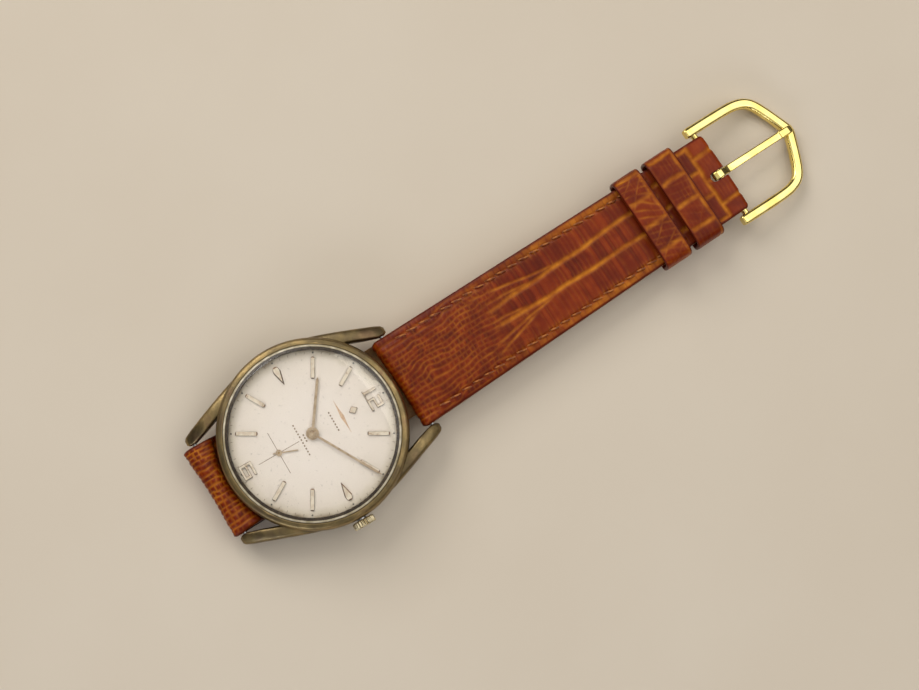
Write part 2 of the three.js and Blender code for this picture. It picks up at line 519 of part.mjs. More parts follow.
// ---- leather strap, buckle half: level, lying over the folded half ----
// Both halves are drawn from their spring bar outwards, in groups that sit on that bar.
function strapGroup(barY, swing) {
  const group = new THREE.Group();
  group.position.set(0, barY, 0);
  group.rotation.z = deg(swing);
  watch.add(group);
  return group;
}

// The bar keeps its own direction, so its hole is turned back against the leather's swing.
const barHole = (swing) => crossPin(10, BAR_R + FIT, 0, BAR_Z).rotate([0, 0, -swing]);
const loopArc = (from, step, count) => Array.from({ length: count }, (_, i) => {
  const p = polar(LOOP_R, deg(from + step * i));
  return [p.x, BAR_Z + p.y];
});
const upperHalf = strapGroup(BAR_Y, BUCKLE_HALF_SWING);
const END_Y = BUCKLE_REACH + 1.45;
const STRAP_SIDE = [...loopArc(90, 30, 7),
  [4.2, BAR_Z - 1.8], [10, BAR_Z - 1.75], [24, BAR_Z - 1.3], [BUCKLE_REACH, BAR_Z - 1.25],
  [END_Y - 0.3, BAR_Z - 0.8], [END_Y, BAR_Z], [END_Y - 0.3, BAR_Z + 0.8],
  [BUCKLE_REACH, BAR_Z + 1.25], [24, BAR_Z + 1.3], [10, BAR_Z + 1.75], [4.2, BAR_Z + 1.85],
];
const strapPlan = vectors([[-STRAP_HALF + 0.5, -LOOP_R], [STRAP_HALF - 0.5, -LOOP_R],
  [STRAP_HALF, 0.6 - LOOP_R], [STRAP_END_HALF, END_Y - 0.5], [STRAP_END_HALF - 0.4, END_Y],
  [-STRAP_END_HALF + 0.4, END_Y], [-STRAP_END_HALF, END_Y - 0.5], [-STRAP_HALF, 0.6 - LOOP_R]]);
const NOTCH_HALF = 1.0;
const NOTCH_START = BUCKLE_REACH - 2.1;
add('strap_buckle_side', 'leather', cutBy(
  sideways(STRAP_SIDE, STRAP_HALF + 1).intersect(prism(strapPlan, 0, 9)),
  barHole(BUCKLE_HALF_SWING), crossPin(10, BUCKLE_BAR_R + FIT, BUCKLE_REACH, BAR_Z),
  prism(vectors([[-NOTCH_HALF, NOTCH_START], [NOTCH_HALF, NOTCH_START],
    [NOTCH_HALF, END_Y + 5], [-NOTCH_HALF, END_Y + 5]]), 0, 9)), upperHalf);

// ---- leather strap, holed half: looped round the 6 o'clock bar and folded flat under the head ----
const TAIL_SIDE = [...loopArc(-20, 30, 8),
  [1.2, 1.2], [3.0, 0.2], [4.4, 0], [TAIL_LENGTH - 2, 0], [TAIL_LENGTH, 0.3], [TAIL_LENGTH, 1.9],
  [TAIL_LENGTH - 2, TAIL_THICK], [5.0, TAIL_THICK], [3.4, 2.55],
];
const NARROW_FROM = 32;
const tipHalf = [[STRAP_HALF, 0.6 - LOOP_R], [STRAP_END_HALF, NARROW_FROM],
  [STRAP_END_HALF, TAIL_LENGTH - 8], [6.6, TAIL_LENGTH - 4.5], [4.2, TAIL_LENGTH - 1.6],
  [1.4, TAIL_LENGTH]];
const mirrored = (points) => points.map(([x, y]) => [-x, y]).reverse();
const tailPlan = vectors([[STRAP_HALF - 0.5, -LOOP_R], ...tipHalf, ...mirrored(tipHalf),
  [0.5 - STRAP_HALF, -LOOP_R]]);
const HOLE_R = 0.9;
const HOLE_PITCH = 6.2;
const FIRST_HOLE = 55;
const holes = Array.from({ length: 7 }, (_, i) => drill(0, FIRST_HOLE + HOLE_PITCH * i, HOLE_R, -1, 4));
add('strap_tail_side', 'leather', cutBy(
  sideways(TAIL_SIDE, STRAP_HALF + 1).intersect(prism(tailPlan, -1, 9)),
  barHole(TAIL_SWING), ...holes), strapGroup(-BAR_Y, TAIL_SWING));

// ---- keepers: leather bands round the strap ----
const roundedBand = (half, low, high, side, crown) => vectors([[-half + side, low],
  [half - side, low], [half, low + side], [half, high - crown], [half - crown, high],
  [-half + crown, high], [-half, high - crown], [-half, low + side]]);

function keeper(near, far) {
  const top = KEEPER_Z + KEEPER_TALL;
  const outer = roundedBand(KEEPER_HALF, KEEPER_Z, top, 0.7, 1.5);
  const inner = roundedBand(KEEPER_HALF - KEEPER_WALL, KEEPER_Z + KEEPER_WALL, top - KEEPER_WALL,
    0.1, 0.9);
  return prism(outer, 0, far - near, [inner]).rotate([90, 0, 0]).translate([0, far, 0]);
}

add('sliding_keeper', 'leather', keeper(END_Y - 20, END_Y - 14.4), upperHalf);
add('fixed_keeper', 'leather', keeper(END_Y - 12.9, END_Y - 7.1), upperHalf);

// ---- buckle, built about its bar and then drooped until the front edge meets the table ----
const buckle = new THREE.Group();
buckle.position.set(0, BUCKLE_REACH, BAR_Z);
buckle.rotation.x = -deg(BUCKLE_TILT);
upperHalf.add(buckle);
const OUTER = [[10.6, -1.5], [10.65, 4], [10.62, 9.4], [10.3, 12], [9.3, 13.9], [8.0, 14.9]];
const INNER = [[8.8, -1.5], [8.85, 4], [8.75, 8.8], [8.3, 11], [7.0, 12.9]];
const BUCKLE_TIP = 17.8;
const BUCKLE_TIP_IN = 15.9;
const framePlan = vectors([...OUTER, [0, BUCKLE_TIP], ...mirrored(OUTER),
  ...mirrored(INNER).reverse(), [0, BUCKLE_TIP_IN], ...[...INNER].reverse()]);
const frameGeometry = new THREE.ExtrudeGeometry(new THREE.Shape(framePlan), {
  depth: 2 * FRAME_HALF_Z - 0.6, bevelEnabled: true, bevelThickness: 0.3, bevelSize: 0.3,
  bevelOffset: -0.3, bevelSegments: 2,
}).translate(0, 0, 0.3 - FRAME_HALF_Z);
add('buckle_frame', 'gold', cutBy(solid(frameGeometry),
  crossPin(10.0, BUCKLE_BAR_R + FIT, 0, 0)), buckle);
add('buckle_bar', 'gold', crossPin(9.9, BUCKLE_BAR_R, 0, 0), buckle);
const TONGUE_HALF = 0.68;
const TONGUE_SIDE = [[0, -0.9], [1.6, -0.2], [6, 0.3], [14.2, 0.98], [17.0, 0.98], [17.35, 1.3],
  [17.0, 1.75], [14.2, 1.95], [6, 1.45], [2.3, 0.8], [1.2, 0.95], [0, 1.15]];
add('buckle_tongue', 'gold', cutBy(
  joined(sideways(TONGUE_SIDE, TONGUE_HALF), crossPin(TONGUE_HALF, 1.2, 0, 0)),
  crossPin(2, BUCKLE_BAR_R + RUN, 0, 0)), buckle);

export default watch;
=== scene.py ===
# %% [markdown]
# # A worn dress watch on an embossed leather strap
# The watch lies dial up on a pale table, its long strap half folded flat beneath it. The packed
# model gives every moving body and every hidden wheel. This lesson adds what the eye reads: the
# worn case, the domed crystal, the silvered dial, the embossed leather, its thread and the buckle.

# %% Load the frame
import math

import bpy
import numpy as np
from mathutils import Matrix, Vector


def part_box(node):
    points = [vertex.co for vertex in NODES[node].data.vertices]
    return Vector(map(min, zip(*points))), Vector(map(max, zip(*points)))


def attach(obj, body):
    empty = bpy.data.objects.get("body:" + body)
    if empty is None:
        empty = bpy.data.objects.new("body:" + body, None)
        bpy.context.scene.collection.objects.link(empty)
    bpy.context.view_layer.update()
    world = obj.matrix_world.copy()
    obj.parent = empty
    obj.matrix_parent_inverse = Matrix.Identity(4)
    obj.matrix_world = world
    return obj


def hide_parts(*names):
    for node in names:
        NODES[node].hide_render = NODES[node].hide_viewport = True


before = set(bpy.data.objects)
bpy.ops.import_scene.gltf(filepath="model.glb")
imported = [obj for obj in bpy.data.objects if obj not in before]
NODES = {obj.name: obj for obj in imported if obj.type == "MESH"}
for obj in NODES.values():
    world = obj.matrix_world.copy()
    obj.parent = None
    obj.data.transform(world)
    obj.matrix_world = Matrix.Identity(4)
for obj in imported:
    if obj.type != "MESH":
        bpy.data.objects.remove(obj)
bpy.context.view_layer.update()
MM = 0.001

# %% [markdown]
# ## Camera
# The watch is looked at almost straight down from about 36 cm, turned so that the strap climbs to
# the upper right. A long lens at that distance keeps the round case round. The camera is placed
# by the direction it looks back along and by what is up for it, which fixes the roll as well.
# A small helper puts any new object in the scene. The plain sRGB view keeps the colours as
# picked, with no film curve to pale the leather.

# %% Camera
def placed(name, data):
    made = bpy.data.objects.new(name, data)
    bpy.context.scene.collection.objects.link(made)
    return made


CAMERA_SPOT = Vector((22.0, 5.55, 359.5)) * MM
CAMERA_BACK = Vector((0.064, -0.073, 0.995)).normalized()
CAMERA_UP = Vector((-0.861, 0.500, 0.092))
LENS_MM, SENSOR_MM = 75.4, 36

camera_data = bpy.data.cameras.new("table_camera")
camera_data.lens = LENS_MM
camera_data.sensor_width = SENSOR_MM
camera = placed("table_camera", camera_data)
right = CAMERA_UP.cross(CAMERA_BACK).normalized()
rise = CAMERA_BACK.cross(right)
camera.matrix_world = Matrix.Translation(CAMERA_SPOT) @ Matrix(
    (right, rise, CAMERA_BACK)).transposed().to_4x4()
bpy.context.scene.camera = camera
bpy.context.scene.view_settings.view_transform = "Standard"
print("camera height in mm:", round(CAMERA_SPOT.z / MM, 1))

# %% [markdown]
# ## Colour and nodes
# Colours are given as sRGB hex values, but shaders work in linear light, so one function
# turns one into the other. A second function adds any shader node with its settings and links, so
# that each material below reads as a short recipe.

# %% Colour and node helpers
def linear(hex_code):
    channels = [int(hex_code[i:i + 2], 16) / 255 for i in (1, 3, 5)]
    return (*[c / 12.92 if c <= 0.04045 else ((c + 0.055) / 1.055) ** 2.4 for c in channels], 1)


def node(tree, kind, feeds=None, out=0, stops=(), **settings):
    made = tree.nodes.new("ShaderNode" + kind)
    for key, value in settings.items():
        setattr(made, key, value)
    for count, (place, colour) in enumerate(stops):
        if count > 1:
            made.color_ramp.elements.new(place)
        step = made.color_ramp.elements[count]
        step.position = place
        step.color = linear(colour) if isinstance(colour, str) else (*[colour] * 3, 1)
    for socket, value in (feeds or {}).items():
        if isinstance(value, bpy.types.NodeSocket):
            tree.links.new(value, made.inputs[socket])
        else:
            made.inputs[socket].default_value = value
    return made.outputs[out]


def finish_material(name, **fixed):
    material = bpy.data.materials.new(name)
    material.use_nodes = True
    shader = material.node_tree.nodes["Principled BSDF"]
    for socket, value in fixed.items():
        shader.inputs[socket.replace("_", " ")].default_value = value
    spot = node(material.node_tree, "TexCoord", out="Object")
    return material, material.node_tree, shader, spot


def dress(tree, shader, **feeds):
    for socket, value in feeds.items():
        tree.links.new(value, shader.inputs[socket.replace("_", " ")])


print("helpers ready")

# %% [markdown]
# ## Metals of the case and hands
# The case is brass that was gold plated and has worn: the gilding survives in patches, and between
# them the brass has gone olive brown. Broad noise places the patches, fine noise breaks their
# edges, and the convex corners are rubbed bright, so the metal looks handled and not painted.

# %% Worn plated brass
def worn_plate():
    # gold plate over brass, rubbed through: dull olive brown with warm brass at the corners
    material, tree, shader, spot = finish_material("worn_gold_plated_brass", Metallic=1.0)
    broad = node(tree, "TexNoise", {"Vector": spot, "Scale": 0.2 / MM, "Detail": 5})
    patches = node(tree, "ValToRGB", {0: broad}, stops=[
        (0.3, "#5f4b3d"), (0.42, "#5d523e"), (0.52, "#786948"), (0.6, "#937e56"), (0.7, "#75594a")])
    sharp = node(tree, "NewGeometry", out="Pointiness")
    rubbed = node(tree, "ValToRGB", {0: sharp}, stops=[(0.5, 0.0), (0.58, 1.0)])
    worn = node(tree, "Mix", {0: rubbed, 6: patches, 7: linear("#ad9569")}, out=2,
                data_type="RGBA")
    fine = node(tree, "TexNoise", {"Vector": spot, "Scale": 2.9 / MM, "Detail": 4})
    rough = node(tree, "ValToRGB", {0: fine}, stops=[(0.3, 0.3), (0.7, 0.52)])
    grain = node(tree, "Bump", {"Height": fine, "Distance": 0.03 * MM, "Strength": 0.6})
    dress(tree, shader, Base_Color=worn, Roughness=rough, Normal=grain)
    return material


PLATE = worn_plate()
print(PLATE.name)

# %% [markdown]
# The applied markers, hands and crown are gilt brass: a thin warm gold over a polished facet. The
# buckle is newer, with bright yellow gold plate that mirrors the room. Both get faint handling
# marks, because a perfectly even mirror looks drawn. These and most finishes after them are cloudy
# noise turned into colour, gloss and fine relief, so one function makes them all.

# %% Polished golds and movement metals
def mottled(name, noises, tones, gloss=None, bump=None, stretch=None, **fixed):
    # noises: (patches per mm, detail). tones follow the first; gloss and bump say which they follow
    material, tree, shader, spot = finish_material(name, **fixed)
    if stretch:
        spot = node(tree, "Mapping", {"Vector": spot, "Scale": stretch})
    clouds = [node(tree, "TexNoise", {"Vector": spot, "Scale": per_mm / MM, "Detail": detail})
              for per_mm, detail in noises]
    dress(tree, shader, Base_Color=node(tree, "ValToRGB", {0: clouds[0]}, stops=tones))
    if gloss:
        which, *steps = gloss
        dress(tree, shader, Roughness=node(tree, "ValToRGB", {0: clouds[which]}, stops=steps))
    if bump:
        which, deep_mm, strength = bump
        feeds = {"Height": clouds[which], "Distance": deep_mm * MM, "Strength": strength}
        dress(tree, shader, Normal=node(tree, "Bump", feeds))
    return material


def polished_metal(name, tone, shade, grain_mm, smooth, rough, stretch=(1, 1, 1)):
    return mottled(name, [(1 / grain_mm, 4)], [(0.35, shade), (0.6, tone)],
                   (0, (0.3, smooth), (0.7, rough)), (0, 0.004, 0.3), stretch, Metallic=1.0)


# rose gilt of the markers: pale, soft mirror with little contrast
GILT = polished_metal("rose_gilt", "#eee4d6", "#dfcebb", 0.8, 0.26, 0.4)
# the hands' gilt is thinner and has gone tan
HAND_GILT = polished_metal("tan_gilt_hand", "#c9b59d", "#b29a80", 0.8, 0.26, 0.4)
# cut facets and edges of the same gilt, painted brown: painted shade for the dark side of the room they
# mirror
GILT_FACET_PAINTED_SHADE = polished_metal("gilt_facet_painted_shade", "#7a5a42", "#5f4330", 0.5, 0.35, 0.45)
# bright gold plate: clean yellow mirror with faint handling marks
GOLD = polished_metal("bright_gold_plate", "#f8e596", "#ecd37a", 3.0, 0.06, 0.14)
# silvery worn gilt of the crown, pale where the plate is gone
CROWN_METAL = polished_metal("worn_gilt_crown", "#dccfae", "#ab9a74", 0.9, 0.22, 0.4)
# stainless steel, drawn or turned: fine lines along the piece
STEEL = polished_metal("turned_steel", "#b6b7b8", "#98999b", 0.3, 0.2, 0.36, (1, 6, 6))
# nickel plated plates and bridges: fine straight graining
NICKEL = polished_metal("grained_nickel_plate", "#c9c5bb", "#a9a59a", 0.25, 0.25, 0.4, (1, 10, 1))
# rolled and gilded wheel brass: soft circular sheen
WHEEL_BRASS = polished_metal("gilded_wheel_brass", "#dcb870", "#bd9650", 0.4, 0.22, 0.36)
# heat blued spring steel: dark blue mirror
BLUED = polished_metal("blued_spring_steel", "#3a4b86", "#243058", 0.4, 0.2, 0.34)
METALS = (GILT, HAND_GILT, GILT_FACET_PAINTED_SHADE, GOLD, CROWN_METAL, STEEL, NICKEL, WHEEL_BRASS, BLUED)
print("metals:", [metal.name for metal in METALS])

# %% [markdown]
# ## Dial, ink and crystal
# The dial is silvered brass under clear lacquer. Age has warmed it towards the rim and freckled
# it a little, and at the very edge painted shade darkens it to olive brown where the bezel and
# crystal wall overhang it. So its colour follows the distance from the middle, disturbed by slow
# noise.

# %% Silvered dial
def silvered_dial():
    # silvered and lacquered brass: almost white, satin, warmer and freckled at the rim, with a dark ring
    # of painted shade at the very edge
    material, tree, shader, spot = finish_material("silvered_lacquered_dial", Metallic=0.25)
    flat = node(tree, "VectorMath", {0: spot, 1: (1, 1, 0)}, operation="MULTIPLY")
    reach = node(tree, "VectorMath", {0: flat}, out="Value", operation="LENGTH")
    share = node(tree, "Math", {0: reach, 1: 18.4 * MM}, operation="DIVIDE")
    blotch = node(tree, "TexNoise", {"Vector": spot, "Scale": 0.25 / MM, "Detail": 5})
    drifted = node(tree, "Math", {0: blotch, 1: 0.136, 2: share},
                   operation="MULTIPLY_ADD")
    # warmer with age towards the rim; the two darkest stops are painted shade at the edge
    aged_and_rim_shade = node(tree, "ValToRGB", {0: drifted}, stops=[
        (0.4, "#ddd5d0"), (0.8, "#d9d0c8"), (0.87, "#c9bfb0"), (0.9, "#9a8b76"), (0.93, "#6f5f49")])
    specks = node(tree, "TexNoise", {"Vector": spot, "Scale": 1.7 / MM, "Detail": 2})
    freckles = node(tree, "ValToRGB", {0: specks}, stops=[(0.66, 1.0), (0.74, 0.78)])
    tint = node(tree, "Mix", {0: 1.0, 6: aged_and_rim_shade, 7: freckles}, out=2, data_type="RGBA",
                blend_type="MULTIPLY")
    satin = node(tree, "ValToRGB", {0: blotch}, stops=[(0.3, 0.34), (0.7, 0.46)])
    grain = node(tree, "TexNoise", {"Vector": spot, "Scale": 8.3 / MM, "Detail": 2})
    matt = node(tree, "Bump", {"Height": grain, "Distance": 0.006 * MM, "Strength": 0.4})
    dress(tree, shader, Base_Color=tint, Roughness=satin, Normal=matt)
    return material


DIAL = silvered_dial()
print(DIAL.name)

# %% [markdown]
# The ink is pad printed and has faded a little. The crystal is pressed acrylic, clear with soft
# reflections. Lamps must shine through it onto the dial, so rays that only look for lamps pass
# straight. Its thick wall is a nearly black olive, painted shade for the dark metal seen through
# its bend over a little yellowing of the acrylic. The corner above the wall is a cream painted
# highlight, a thin bright ring of caught light.

# %% Printing ink and acrylic
def ink(name, tone, worn_tone):
    # pad printed ink: matt, slightly uneven where it has worn
    return mottled(name, [(3.3, 2)], [(0.4, tone), (0.7, worn_tone)], Roughness=0.6)


def acrylic_crystal():
    # pressed acrylic, polished: clear, refractive index 1.49, fine hairlines in the gloss
    material, tree, shader, spot = finish_material("polished_acrylic", IOR=1.49,
                                                   Transmission_Weight=1.0)
    shader.inputs["Base Color"].default_value = linear("#fbfaf5")
    spot = node(tree, "Mapping", {"Vector": spot, "Scale": (1, 9, 1)})
    hairs = node(tree, "TexNoise", {"Vector": spot, "Scale": 0.67 / MM, "Detail": 4})
    gloss = node(tree, "ValToRGB", {0: hairs}, stops=[(0.4, 0.015), (0.75, 0.06)])
    dress(tree, shader, Roughness=gloss)
    lamp_ray = node(tree, "LightPath", out="Is Shadow Ray")
    clear = node(tree, "BsdfTransparent")
    both = node(tree, "MixShader", {0: lamp_ray, 1: shader.outputs[0], 2: clear})
    tree.links.new(both, tree.nodes["Material Output"].inputs["Surface"])
    return material


def crystal_edge_painted_light(name, dark, light, clear):
    # the edge of the crystal: acrylic a little yellowed by age and dulled where it meets the metal, its
    # colour painted light: painted shade on the wall, a painted highlight on the rim
    return mottled(name, [(0.5, 3), (2.5, 2)], [(0.35, dark), (0.7, light)],
                   (1, (0.3, 0.12), (0.7, 0.3)), IOR=1.49, Transmission_Weight=clear)


BLACK_INK = ink("black_dial_ink", "#25201b", "#4a4238")
BROWN_INK = ink("brown_dial_ink", "#66513d", "#8b7358")
COPPER_INK = ink("copper_dial_ink", "#b8977a", "#cdb297")
CRYSTAL = acrylic_crystal()
# the thick wall seen through its own bend: nearly black olive, painted shade for the dark metal beside it
CRYSTAL_WALL_PAINTED_SHADE = crystal_edge_painted_light("acrylic_wall_painted_shade", "#33271a", "#544531", 0.25)
# the polished corner above it: a thin cream line of caught light, an opaque painted highlight
CRYSTAL_RIM_PAINTED_HIGHLIGHT = crystal_edge_painted_light("acrylic_rim_painted_highlight", "#a39676", "#e2d8c0", 0.0)
print("dial finishes:", [m.name for m in (BLACK_INK, BROWN_INK, COPPER_INK, CRYSTAL)])

# %% [markdown]
# ## Leather and thread
# The strap is calf leather embossed with a lizard grain. It was dyed golden, then the raised
# scales were wiped with dark red brown, so the low lines stay gold. Each leather mesh carries two
# numbers per point, made together with its relief: valley, how deep in a line it is, and tone,
# how dark its scale came out. The material only turns those into colour, gloss and fine grain.

# %% Embossed leather
def embossed_leather():
    # glazed calf leather: semi-gloss scales, duller golden lines, fine pores on top
    material, tree, shader, spot = finish_material("embossed_glazed_calf", IOR=1.46,
                                                   Specular_IOR_Level=0.2)
    valley = node(tree, "Attribute", out="Fac", attribute_name="valley")
    tone = node(tree, "Attribute", out="Fac", attribute_name="tone")
    painted = node(tree, "Attribute", out="Fac", attribute_name="painted")
    cloudy = node(tree, "TexNoise", {"Vector": spot, "Scale": 0.45 / MM, "Detail": 4})
    depth = node(tree, "Math", {0: cloudy, 1: 0.5, 2: tone}, operation="MULTIPLY_ADD")
    scales = node(tree, "ValToRGB", {0: depth}, stops=[
        (0.25, "#561402"), (0.5, "#732202"), (0.75, "#8d3306"), (1.0, "#a3490d")])
    lines = node(tree, "ValToRGB", {0: cloudy}, stops=[(0.35, "#9c5008"), (0.65, "#cb7d1b")])
    dyed = node(tree, "Mix", {0: valley, 6: scales, 7: lines}, out=2, data_type="RGBA")
    coated = node(tree, "Mix", {0: painted, 6: dyed, 7: linear("#652a10")}, out=2,
                  data_type="RGBA")
    gloss = node(tree, "ValToRGB", {0: valley}, stops=[(0.0, 0.36), (1.0, 0.55)])
    pores = node(tree, "TexNoise", {"Vector": spot, "Scale": 6.25 / MM, "Detail": 3})
    skin = node(tree, "Bump", {"Height": pores, "Distance": 0.03 * MM, "Strength": 0.5})
    dress(tree, shader, Base_Color=coated, Roughness=gloss, Normal=skin)
    return material


LEATHER = embossed_leather()
print(LEATHER.name)

# %% [markdown]
# The inside of the strap is a plain lining. The thread is waxed and twisted from two plies, which
# a slanting wave shows. The case seal is black rubber with a dusty bloom.

# %% Lining, thread and rubber
def waxed_thread():
    # waxed polyester thread, two plies twisted: fine diagonal rope lines
    material, tree, shader, spot = finish_material("waxed_sewing_thread", Sheen_Weight=0.2)
    twist = node(tree, "TexWave", {"Vector": spot, "Scale": 0.32 / MM, "Distortion": 1.0},
                 out="Fac", bands_direction="DIAGONAL")
    plies = node(tree, "ValToRGB", {0: twist}, stops=[(0.2, "#854413"), (0.8, "#b9702c")])
    wax = node(tree, "ValToRGB", {0: twist}, stops=[(0.0, 0.5), (1.0, 0.7)])
    dress(tree, shader, Base_Color=plies, Roughness=wax)
    return material


# undyed pigskin lining: matt tan with pores
LINING = mottled("tan_lining_leather", [(0.62, 4), (5, 3)], [(0.35, "#8e6740"), (0.65, "#a9804f")],
                 (0, (0.3, 0.6), (0.7, 0.8)), (1, 0.04, 0.6), IOR=1.46)
THREAD = waxed_thread()
# moulded nitrile seal: matt black with a dusty bloom
RUBBER = mottled("moulded_nitrile", [(2, 3)], [(0.4, "#161616"), (0.7, "#2a2927")], Roughness=0.7)
print("soft finishes:", [m.name for m in (LINING, THREAD, RUBBER)])

# %% [markdown]
# ## Meshes
# Every made piece is a list of points in millimetres and a list of faces. One function turns them
# into an object in metres, smooth shaded with crisp corners, riding on its body and standing for
# its CAD node. A grid closed in one or both directions covers most shapes here.

# %% Mesh helpers
def mesh_of(name, points, faces):
    mesh = bpy.data.meshes.new(name)
    mesh.from_pydata((np.asarray(points, float) * MM).tolist(), [], faces)
    return mesh


def piece(name, points, faces, body, material, slot, stands_for=(), crisp=40, traits=None):
    mesh = mesh_of(name, points, faces)
    for trait, values in (traits or {}).items():
        mesh.attributes.new(trait, "FLOAT", "POINT").data.foreach_set(
            "value", np.asarray(values, float))
    mesh.validate()
    made = placed(name, mesh)
    mesh.materials.append(material)
    mesh.shade_smooth()
    mesh.set_sharp_from_angle(angle=math.radians(crisp))
    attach(made, body)
    if stands_for:
        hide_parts(*stands_for)
    return made


def grid_faces(rows, columns, wrap_rows=False, wrap_columns=False, start=0):
    faces = []
    for r in range(rows if wrap_rows else rows - 1):
        near, far = start + r * columns, start + (r + 1) % rows * columns
        for c in range(columns if wrap_columns else columns - 1):
            after = (c + 1) % columns
            faces.append([near + c, near + after, far + after, far + c])
    return faces


def full_turn(sides):
    return np.linspace(0, 2 * np.pi, sides, endpoint=False)


def turned(name, profile, body, material, slot, stands_for=(), sides=160, crisp=30):
    points = [(r * math.cos(a), r * math.sin(a), z) for r, z in profile for a in full_turn(sides)]
    faces = grid_faces(len(profile), sides, wrap_rows=True, wrap_columns=True)
    return piece(name, points, faces, body, material, slot, stands_for, crisp)


def smooth_step(low, high, value):
    t = np.clip((value - low) / (high - low), 0, 1)
    return t * t * (3 - 2 * t)


def mid(node_name):
    low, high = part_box(node_name)
    return (Vector(low) + Vector(high)) / 2 / MM


print("mesh helpers ready")

# %% [markdown]
# ## Case band, bezel, back and crown
# The band, bezel and crystal were turned on a lathe, so each is one profile swept round the hands'
# axis. Profiles keep the model's radii and heights and add the rounded edges that polishing
# leaves. The bezel is a plain sloping ring that holds the crystal.

# %% Turned case parts
BAND = [(14.66, 5.6), (14.66, 4.3), (15.1, 3.8), (16.5, 3.76), (16.95, 3.9), (17.25, 4.25),
        (17.5, 4.7), (17.66, 5.2), (17.7, 5.9), (17.7, 7.4), (17.66, 7.95), (17.58, 8.3),
        (17.45, 8.55), (17.2, 8.65), (15.8, 8.66), (15.72, 8.6), (14.75, 8.2)]
BEZEL = [(16.27, 8.73), (17.3, 8.73), (17.41, 8.8), (17.45, 8.95), (17.44, 9.15), (17.36, 9.36),
         (17.2, 9.52), (16.95, 9.63), (16.66, 9.7), (16.5, 9.74), (16.4, 9.75), (16.31, 9.72),
         (16.27, 9.64)]
turned("case_band", BAND, "head", PLATE, "worn_plate", ("mid_case",))
turned("bezel_ring", BEZEL, "head", PLATE, "worn_plate", ("bezel",))
BACK_LOW, BACK_HIGH = ((corner / MM).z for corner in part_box("case_back"))
BACK = [(0, BACK_LOW), (10.9, BACK_LOW), (11.1, BACK_LOW + 0.12), (11.5, BACK_LOW + 0.12),
        (11.7, BACK_LOW), (15.4, BACK_LOW), (16.1, BACK_LOW + 0.1),
        (16.45, BACK_LOW + 0.35), (16.5, BACK_LOW + 0.66), (14.5, BACK_LOW + 0.69),
        (14.45, BACK_HIGH - 0.1), (14.3, BACK_HIGH), (13.4, BACK_HIGH),
        (13.3, BACK_LOW + 0.75), (0, BACK_LOW + 0.7)]
turned("snap_back", BACK, "head", STEEL, "steel", ("case_back",))
print("back from z", round(BACK_LOW, 2), "to", round(BACK_HIGH, 2), "mm")

# %% [markdown]
# The crystal is a pressed dome. Its outer face rises from a short upright wall into a shallow
# curve, and the inner face follows it, so the wall bends light like the real one. The wall takes
# painted shade, and the corner above it takes a painted highlight, the thin bright ring.

# %% Domed crystal
CRYSTAL_R, DOME_TOP, CRYSTAL_WALL, WALL_FROM = 16.2, 11.6, 0.85, 15.45
RIM_FROM, RIM_Z = 15.9, 9.98


def dome(radius, crown_z, edge_z, count=26):
    t = np.linspace(0, 1, count)
    bend = 0.62 * radius
    return [((1 - s) ** 2 * radius + 2 * s * (1 - s) * bend,
             (1 - s) ** 2 * edge_z + (2 * s * (1 - s) + s * s) * crown_z) for s in t]


outer = dome(CRYSTAL_R - 0.12, DOME_TOP, 10.12, 52)
inner = dome(15.2, DOME_TOP - CRYSTAL_WALL, 9.5)
CRYSTAL_SHAPE = [(15.2, 8.74), (CRYSTAL_R - 0.02, 8.74), (CRYSTAL_R, 8.8), (CRYSTAL_R, 9.95),
                 (CRYSTAL_R - 0.04, 10.05), *outer[:-1], (0.02, DOME_TOP),
                 (0.02, DOME_TOP - CRYSTAL_WALL), *inner[-2::-1]]
crystal = turned("domed_crystal", CRYSTAL_SHAPE, "head", CRYSTAL, "acrylic", ("crystal",))
crystal.data.materials.append(CRYSTAL_WALL_PAINTED_SHADE)
crystal.data.materials.append(CRYSTAL_RIM_PAINTED_HIGHLIGHT)
# faces on the wall take the painted shade, faces on the rim the painted highlight
for face in crystal.data.polygons:
    out_by, up_by = math.hypot(face.center.x, face.center.y) / MM, face.center.z / MM
    on_rim = out_by > RIM_FROM and up_by > RIM_Z
    face.material_index = 2 if on_rim else int(out_by > WALL_FROM)
print("crystal stands", DOME_TOP - 9.75, "mm above the bezel")

# %% [markdown]
# ## Lugs
# Each lug is a horn that leaves the band along a tangent, narrows, and turns down to hold the
# spring bar. It is lofted: rounded sections are placed along its length, with the inner edge,
# outer edge, top and underside read from four short curves. Four mirrored copies make the set.

# %% Lofted lugs
LUG_IN = [(6, 10.4), (13.6, 11.3), (16.5, 10.25), (19.4, 9.36), (20.5, 9.42), (21.0, 9.8)]
LUG_OUT = [(6, 16.45), (8.6, 15.75), (11.6, 14.7), (15.5, 13.25), (19.4, 11.8), (20.6, 11.25),
           (21.0, 10.75)]
LUG_TOP = [(6, 8.12), (11, 8.08), (13.5, 7.95), (16.5, 7.45), (19, 6.5), (20.6, 5.5), (21.0, 4.9)]
LUG_LOW = [(6, 4.2), (12, 3.9), (17.5, 3.55), (20, 3.52), (20.8, 3.85), (21.0, 4.3)]


def along(curve, value):
    return np.interp(value, *np.array(curve).T)


def soft_square(count, power):
    c, s = np.cos(full_turn(count)), np.sin(full_turn(count))
    return np.sign(c) * np.abs(c) ** power, np.sign(s) * np.abs(s) ** power


def lofted(name, sections, body, material, slot, stands_for=(), crisp=45):
    sections = np.asarray(sections)
    rows, columns = sections.shape[:2]
    faces = grid_faces(rows, columns, wrap_columns=True)
    faces += [list(range(columns))[::-1], [(rows - 1) * columns + c for c in range(columns)]]
    return piece(name, sections.reshape(-1, 3), faces, body, material, slot, stands_for, crisp)


